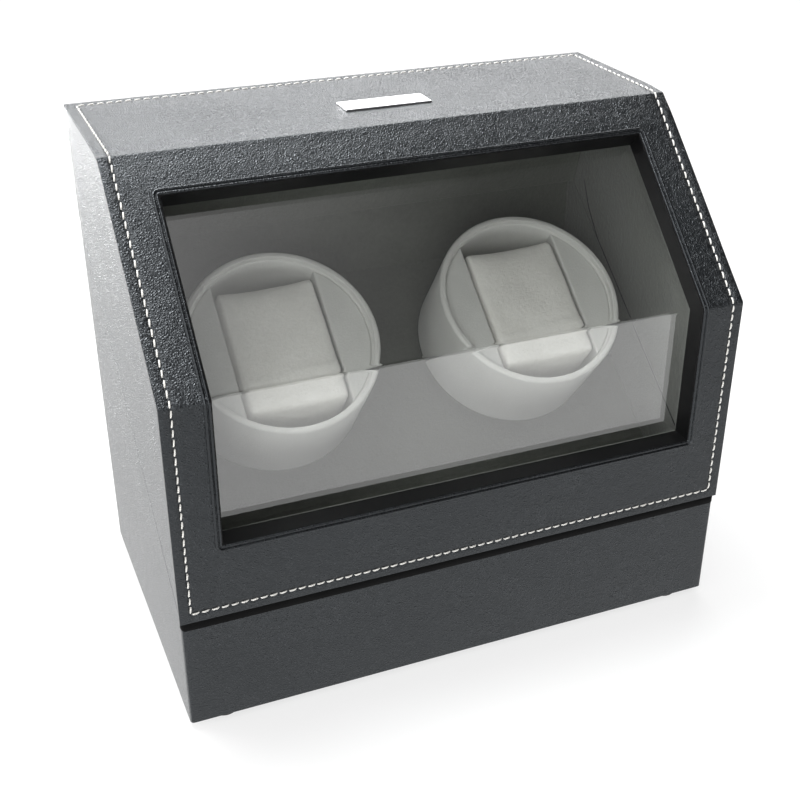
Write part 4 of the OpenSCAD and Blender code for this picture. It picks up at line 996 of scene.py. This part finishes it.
def sew_cushion(obj):
    """Flap across the lower quarter, soft dents, a sagging upper edge and a ragged left one."""
    for vertex in obj.data.vertices:
        co = vertex.co
        face = RIM_UP - CUSHION_DOWN - CUSHION_DROP * (co.y + CUSHION_LOW) / (CUSHION_UP + CUSHION_LOW)
        top = smooth_step(face - 9 * MM, face - 3 * MM, co.z)
        bend = CUSHION_FLAP + 0.9 * MM * math.sin(co.x * 95) + 0.5 * MM * noise.noise(
            Vector((co.x * 160, 4.0, 1.0)))
        under = smooth_step(-0.4 * MM, 0.5 * MM, co.y - bend)
        lift = math.exp(-((co.y - bend + 1.2 * MM) / (2.0 * MM)) ** 2)
        co.z += top * ((1 - under) * 0.4 + lift * 0.2) * MM
        dent = noise.noise(Vector((co.x * 70, co.y * 70, 2.0)))
        co.z += top * dent * 0.5 * MM
        rub = noise.noise(Vector((co.x * 330, co.y * 330, 8.0)))
        low_part = 1 - smooth_step(CUSHION_FLAP - 2 * MM, CUSHION_FLAP + 1 * MM, co.y)
        co.z += top * rub * (0.08 + 0.2 * low_part) * MM
        end = smooth_step(CUSHION_UP - 7 * MM, CUSHION_UP, co.y)
        across = co.x / (CUSHION_W / 2)
        co.y -= end * 1.7 * (1 - ((across + 0.15) / 1.15) ** 2) * MM
        edge = smooth_step(0.86, 1.0, -across)
        co.x += top * edge * (0.35 + 0.45 * noise.noise(Vector((co.y * 260, 1.0, 6.0)))) * MM
        cushion_limits(co)


def make_cushions():
    """One pad is swollen and sewn, then placed in each cup."""
    form = cushion_form()
    modifier(form, "REMESH", mode="VOXEL", voxel_size=CUSHION_VOXEL, use_smooth_shade=True)
    apply_modifiers(form)
    inflate(form)
    fill_space(form)
    sew_cushion(form)
    modifier(form, "SUBSURF", levels=1, render_levels=1)
    apply_modifiers(form)
    form.data.polygons.foreach_set("use_smooth", [True] * len(form.data.polygons))
    for side in ("left", "right"):
        mesh = form.data.copy()
        mesh.transform(cup_matrix(side))
        pad = bpy.data.objects.new("watch_cushion_" + side, mesh)
        bpy.context.scene.collection.objects.link(pad)
        finish_piece(pad, "cushion_" + side, CREAM, ["cushion_" + side])
    bpy.data.objects.remove(form)


# ---- stage, light and camera ----

def aim(obj, target):
    way = Vector(target) - obj.location
    obj.rotation_euler = way.to_track_quat("-Z", "Y").to_euler()


def area_light(name, place, target, size, power):
    data = bpy.data.lights.new(name, "AREA")
    data.shape = "RECTANGLE"
    data.size, data.size_y = size
    data.energy = power
    obj = bpy.data.objects.new(name, data)
    obj.location = place
    bpy.context.scene.collection.objects.link(obj)
    aim(obj, target)


def stage_material():
    """White paper: lit for shadows, glowing white to the camera and to reflections."""
    n = Nodes("stage_white")
    n.tree.nodes.remove(n.shader)
    diffuse = n.add("BsdfDiffuse", {"Color": (0.86, 0.86, 0.86, 1.0)})
    path = n.add("LightPath")
    mirrored = n.math("MAXIMUM", path.outputs["Is Glossy Ray"], path.outputs["Is Transmission Ray"])
    seen = n.math("MAXIMUM", mirrored, path.outputs["Is Camera Ray"])
    glow = n.add("Emission", {"Color": (1.0, 1.0, 1.0, 1.0), "Strength": 1.0})
    far = n.add("VectorMath", {0: n.coords}, operation="LENGTH").outputs["Value"]
    share = n.remap(far, 0.5, 1.6, 0.74, 1.0)
    part = n.math("MULTIPLY", seen, n.math("MAXIMUM", mirrored, share))
    mixed = n.add("MixShader", {0: part, 1: diffuse.outputs[0], 2: glow.outputs[0]})
    n.tree.links.new(mixed.outputs[0], n.tree.nodes["Material Output"].inputs["Surface"])
    return n.material


def make_stage():
    size = 3.0
    verts = [(-size, -size, 0), (size, -size, 0), (size, size, 0), (-size, size, 0)]
    floor = new_mesh("floor", verts, [(0, 1, 2, 3)])
    floor.data.materials.append(stage_material())


def make_world():
    """Studio dome: bright high on the left, dim elsewhere, white to the camera."""
    world = bpy.data.worlds.new("studio")
    bpy.context.scene.world = world
    world.use_nodes = True
    tree = world.node_tree
    back = tree.nodes["Background"]
    coords = tree.nodes.new("ShaderNodeTexCoord")
    facing = tree.nodes.new("ShaderNodeVectorMath")
    facing.operation = "DOT_PRODUCT"
    facing.inputs[1].default_value = Vector((-0.75, -0.15, 0.65)).normalized()
    tree.links.new(coords.outputs["Generated"], facing.inputs[0])
    level = tree.nodes.new("ShaderNodeMapRange")
    level.interpolation_type = "SMOOTHSTEP"
    for key, value in (("From Min", 0.25), ("From Max", 0.9), ("To Min", 0.05), ("To Max", 1.5)):
        level.inputs[key].default_value = value
    tree.links.new(facing.outputs["Value"], level.inputs["Value"])
    path = tree.nodes.new("ShaderNodeLightPath")
    mix = tree.nodes.new("ShaderNodeMix")
    sockets = {s.identifier: s for s in mix.inputs}
    tree.links.new(path.outputs["Is Camera Ray"], sockets["Factor_Float"])
    tree.links.new(level.outputs["Result"], sockets["A_Float"])
    sockets["B_Float"].default_value = 1.0
    tree.links.new(mix.outputs[0], back.inputs["Strength"])
    back.inputs["Color"].default_value = (1.0, 1.0, 1.0, 1.0)


def make_lights():
    """Four softboxes: place, aim, size and watts of each."""
    middle = (0.0, 0.0, 0.11)
    area_light("overhead", (-0.2, 0.3, 1.15), (0.0, 0.0, 0.2), (0.7, 0.4), 17.0)
    area_light("back", (0.46, 1.02, 0.82), (0.0, 0.04, 0.2), (1.3, 0.75), 16.0)
    area_light("left_back", (-0.75, 1.35, 0.27), middle, (1.2, 0.42), 35.0)
    area_light("front", (-0.55, -1.3, 0.48), middle, (0.8, 0.5), 5.0)


def make_camera():
    """Camera solved from the photograph's edges: place, aim and lens."""
    data = bpy.data.cameras.new("photo_view")
    data.lens = 56.58
    camera = bpy.data.objects.new("photo_view", data)
    bpy.context.scene.collection.objects.link(camera)
    shift_y = (FRONT_Y + BACK_Y) / 2
    camera.location = (-0.1847, -0.4523 + shift_y, 0.3535 + BASE_LOW_Z)
    aim(camera, (-0.0006, shift_y, 0.086 + BASE_LOW_Z))
    bpy.context.scene.camera = camera


make_camera()
make_stage()
make_world()
make_lights()
dress_nodes()
make_wrap()
make_bead()
make_thread()
make_pane()
make_base_covering()
make_lip_shadow_band()
make_lining_shadow_lines()
for cup_side in ("left", "right"):
    make_cup(cup_side)
make_cushions()
bpy.context.scene.view_settings.view_transform = "Standard"
